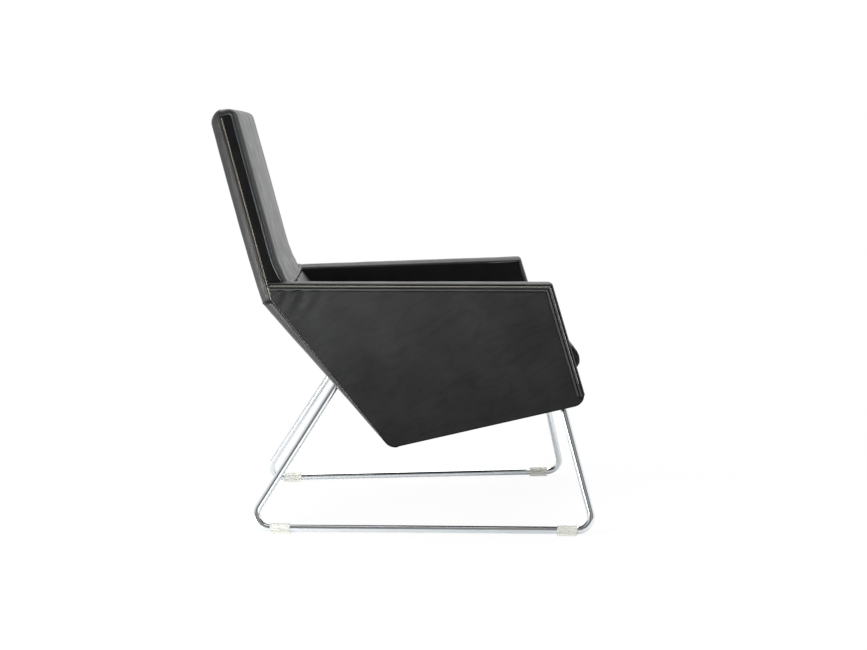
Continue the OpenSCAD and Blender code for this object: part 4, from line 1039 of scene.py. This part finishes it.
# make the pieces
back_face = back_front()
foot, tuck = front_foot(), back_tuck()
gus = gusset()
rear_up = rear_back()
rear_down = rear_low()
hem_rows = hem()
for sx, word in ((1, "right"), (-1, "left")):
    M = lambda P: P * np.array([sx, 1, 1])
    grid_piece(f"side_panel_{word}", M(side), LEATHER, flip=sx > 0, fill=1.0, thick=1.4,
               replaces=(f"outer_side_cover_{word}", f"side_foam_{word}"))
    grid_piece(f"side_hem_{word}", M(hem_rows), LEATHER, flip=sx < 0, thick=1.0)
    grid_piece(f"front_foot_leather_{word}", M(foot), LEATHER_PAD, flip=sx < 0, thick=1.0)
    # the tuck wears the duller leather copy, as painted shade
    grid_piece(f"back_tuck_leather_{word}", M(tuck), LEATHER_SEAT_SHADE, flip=sx < 0, thick=1.0)
    o = grid_piece(f"arm_seam_fold_{word}", M(seam), LEATHER_EDGE, flip=sx < 0,
                   replaces=(f"arm_seam_{word}",))
    # the seam's groove steps take dark matt leather, as painted shade
    o.data.materials.append(GROOVE_SHADE)
    for k, f in enumerate(o.data.polygons):
        f.material_index = int(k // (seam.shape[1] - 1) in GROOVE_SHADE_STEPS)
    arm_faces = [f[::-1] if sx > 0 else f for f in arm[1]]
    o = piece(f"arm_pad_leather_{word}", M(np.array(arm[0])), arm_faces, LEATHER_PAD, fill=0.9,
              replaces=(f"inner_arm_cover_{word}", f"arm_pad_{word}"))
    # the inner face takes the darker, duller leather copy, as painted shade
    o.data.materials.append(LEATHER_ARM_SHADE)
    for k, f in enumerate(o.data.polygons):
        f.material_index = int(k >= arm[2])
    weld(o, 1.2)
    # the side strip wears the duller leather copy, as painted shade
    grid_piece(f"back_side_strip_{word}", M(gus), LEATHER_STRIP_SHADE, flip=sx < 0, fill=0.9, thick=1.2,
               replaces=(f"back_gusset_{word}", f"back_edge_foam_{word}"))
    out = np.array([sx, 0.22, -0.15])
    stitches(f"arm_stitches_{word}", M(seam_row(5.6, 2.8)), out, THREAD, length=3.4, gap=1.1, r=0.62)
    # pale thread that joins the side strip and the rear leather, and goes on down the slanting rear
    back_seam = np.array([(seam_x(t) + (1.0 if t <= 0 else 0.9), *on_back(t, -1.0))
                          for t in np.linspace(-28, 366, 130)])
    stitches(f"back_seam_thread_{word}", M(back_seam), out, THREAD, length=4.2, gap=0.2, r=0.62,
             zigzag=52)
    welt = np.array([(seam_x(t) - 0.9, *on_back(t, 7.4)) for t in np.linspace(-22, 362, 120)])
    tube(f"back_seam_cord_{word}", M(welt), 0.85, EDGE_LINE, 8)
    fold = back_face[27:-9, NCOL - 4 if sx > 0 else 3] + np.array([0.25 * sx, 0, 0])
    tube(f"back_front_seam_{word}", fold, 0.6, EDGE_LINE, 8)
    low_run = np.array([(outer_x(p) - 0.6, *p) for p in resample([A - 12 * UP, E], 12)] +
                       [(outer_x(p) - 0.9, *p) for p in resample([E, D + 30 * REAR_DIR], 160)[1:]])
    tube(f"rear_seam_cord_{word}", M(low_run), 0.75, THREAD, 8)

# the back's front wears the bluish, shiny leather copy, as a painted reflection
grid_piece("back_front_leather", back_face, LEATHER_FRONT_REFLECTION, fill=0.9, thick=1.4,
           replaces=("inner_back_cover", "back_pad"))
grid_piece("back_rear_leather", rear_up, LEATHER_PAD, fill=0.9, thick=1.4, flip=True,
           replaces=("outer_back_cover", "rear_foam"))
grid_piece("lower_rear_leather", rear_down, LEATHER_PAD, fill=0.9, thick=1.4, flip=True,
           replaces=("lower_rear_cover", "lower_rear_foam"))
tube("kink_seam_cord", rear_up[0][2:-2] + np.array([0, 0.2, -0.1]), 1.1, LEATHER_EDGE, 8)
tube("top_seam_cord", rear_up[-1][1:-1], 1.0, LEATHER_EDGE, 8)

# the base: one bent rod a side, from inside the front rail down, along the floor and up into the rear
ROD_D, ROD_BEND_R, GLIDE_UNDER = 16, 30, 3
FRONT_APART, REAR_APART, RUNNER_FROM, RUNNER = 613, 508, -107.5, 764
# where the legs enter the body: along the underside and the slanting rear, and inward of the sides
ENTRY_F, ENTRY_R, INSET_F, INSET_R = 43, 181.5, 116, 44.5
ROD = ROD_D / 2
foot_f = np.array([FRONT_APART / 2, RUNNER_FROM, GLIDE_UNDER + ROD])
foot_r = np.array([REAR_APART / 2, RUNNER + RUNNER_FROM, GLIDE_UNDER + ROD])
in_f, in_r = REAL_C + ENTRY_F * UNDER_DIR, REAL_D + ENTRY_R * REAR_DIR
leg_f, leg_r = np.array([outer_x(in_f) - INSET_F, *in_f]), np.array([outer_x(in_r) - INSET_R, *in_r])
top_f, top_r = leg_f + unit(leg_f - foot_f) * OVERRUN, leg_r + unit(leg_r - foot_r) * OVERRUN
bend_f = fillet(top_f, foot_f, foot_r, ROD_BEND_R, 16)
bend_r = fillet(foot_f, foot_r, top_r, ROD_BEND_R, 16)
rod = (line(top_f, bend_f[0], 59) + bend_f + line(bend_f[-1], bend_r[0], 119, 1) + bend_r
       + line(bend_r[-1], top_r, 59, 1) + [top_r])
for sx, word in ((1, "right"), (-1, "left")):
    tube(f"sled_rod_chromed_{word}", rod * np.array([sx, 1, 1]), ROD, CHROME, 40,
         replaces=(f"sled_rod_{word}",), slot="chromed_rod")

# leather under the cushion's nose, over the foam of the front rail: its top edge, rear edge and drop
APRON_TOP, APRON_REAR, APRON_DROP = on_deck(7, -0.6), on_deck(25, 1.0), 52
apron = []
for t in (-3, -2, -1, *np.linspace(0, 1, 12)):
    row = []
    for u in np.linspace(-1, 1, 90):
        p = APRON_TOP + FRONT_DIR * APRON_DROP * max(t, 0)
        p = mix(p, APRON_REAR, -min(t, 0) / 3) - FRONT_IN * 0.5
        row.append((u * (inner_x(p) - 0.6), p[0] - 1.2 * math.sin(math.pi * max(t, 0)), p[1]))
    apron.append(row)
grid_piece("front_apron_leather", apron, LEATHER_PAD, flip=True, fill=1.0, thick=1.2,
           replaces=("front_apron", "front_pad"))

seat = cushion_piece()
cushion_seams(seat)

# CAD pieces that stay, with their materials
FINISH = {"chromed_rod": CHROME, "clear_plastic": CLEAR, "steel": ZINC, "plywood": PLY, "webbing": WEB,
          "dark_cloth": LINING, "black_leather": LEATHER_PAD, "foam": LINING}
for sub in frame["record"]["subparts"]:
    o = frame["nodes"][sub["node"]]
    o.data.materials.clear()
    o.data.materials.append(FINISH[sub["material_slot"]])


# stage
def seen_directly(n, l):
    """1 for rays from the camera, also through clear plastic, and 0 for light and mirror images."""
    path = n.new("ShaderNodeLightPath")
    return maths(n, l, "MAXIMUM", path.outputs["Is Camera Ray"], path.outputs["Is Transmission Ray"])


def stage_mat():
    """Pale paper, which the camera sees nearly white under the chair and wholly white far out."""
    m, n, l, b = new_mat("paper_floor")
    b.inputs["Base Color"].default_value = (0.84, 0.85, 0.86, 1)
    b.inputs["Roughness"].default_value = 0.9
    glow = n.new("ShaderNodeEmission")
    paper = n.new("ShaderNodeBsdfDiffuse")
    paper.inputs["Color"].default_value = (0.95, 0.95, 0.95, 1)
    far = n.new("ShaderNodeVectorMath")
    far.operation = "LENGTH"
    l.new(coords(n, l), far.inputs[0])
    white = ramp(n, l, maths(n, l, "MULTIPLY", far.outputs["Value"], 0.25), [(0.2, 0.93), (0.5, 1.0)])
    shown = blend(n, l, white, paper.outputs[0], glow.outputs[0])
    l.new(blend(n, l, seen_directly(n, l), b.outputs[0], shown), n["Material Output"].inputs[0])
    return m


bpy.ops.mesh.primitive_plane_add(size=40, location=(0, 0, 0))
floor = bpy.context.object
floor.name = "floor"
floor.data.materials.append(stage_mat())

# the studio's brightness by direction, in degrees clockwise from the camera's side, and by height
WALLS = ((-180, 1.0), (-95, 1.0), (-70, 0.6), (-58, 0.5), (-54, 0.03), (-41, 0.03), (-37, 0.4), (-8, 0.3),
         (12, 0.3), (20, 0.03), (30, 0.03), (34, 0.45), (66, 0.6), (95, 1.0), (180, 1.0))
CEILING = ((0.5, 1.0), (0.72, 0.9), (0.84, 0.75), (1.0, 0.7))


def studio():
    """A white room with dark strips, which the chrome and leather mirror and the camera sees as white."""
    w = bpy.data.worlds.new("studio")
    w.use_nodes = True
    n, l = w.node_tree.nodes, w.node_tree.links
    n.clear()
    out = n.new("ShaderNodeOutputWorld")
    room, white = n.new("ShaderNodeBackground"), n.new("ShaderNodeBackground")
    white.inputs[0].default_value = (1, 1, 1, 1)
    way = n.new("ShaderNodeTexCoord")
    sep = n.new("ShaderNodeSeparateXYZ")
    l.new(way.outputs["Generated"], sep.inputs[0])
    turn = maths(n, l, "ARCTAN2", sep.outputs[1], maths(n, l, "MULTIPLY", sep.outputs[0], -1.0))
    round_ = maths(n, l, "ADD", maths(n, l, "MULTIPLY", turn, 1 / TAU), 0.5)
    walls = ramp(n, l, round_, [((a + 180) / 360, c) for a, c in WALLS])
    height = maths(n, l, "ADD", maths(n, l, "MULTIPLY", sep.outputs[2], 0.5), 0.5)
    ceiling = ramp(n, l, height, CEILING)
    sky = n.new("ShaderNodeMixRGB")
    sky.blend_type = "MULTIPLY"
    sky.inputs[0].default_value = 1.0
    l.new(walls, sky.inputs[1])
    l.new(ceiling, sky.inputs[2])
    l.new(sky.outputs[0], room.inputs[0])
    l.new(blend(n, l, seen_directly(n, l), room.outputs[0], white.outputs[0]), out.inputs[0])
    return w


def area(name, loc, target, size, power):
    """A rectangular lamp at loc that shines towards target."""
    d = bpy.data.lights.new(name, "AREA")
    d.shape = "RECTANGLE"
    d.size, d.size_y = size
    d.energy = power
    o = bpy.data.objects.new(name, d)
    scene.collection.objects.link(o)
    o.location = loc
    o.rotation_euler = (Vector(target) - Vector(loc)).to_track_quat("-Z", "Y").to_euler()
    return o


scene.world = studio()
area("overhead", (0.6, -0.2, 3.4), (0, 0, 0.2), (3.0, 3.0), 68)
area("floor wash", (-2.1, 1.9, 1.3), (-2.1, 1.9, 0), (1.2, 1.2), 225).visible_glossy = False
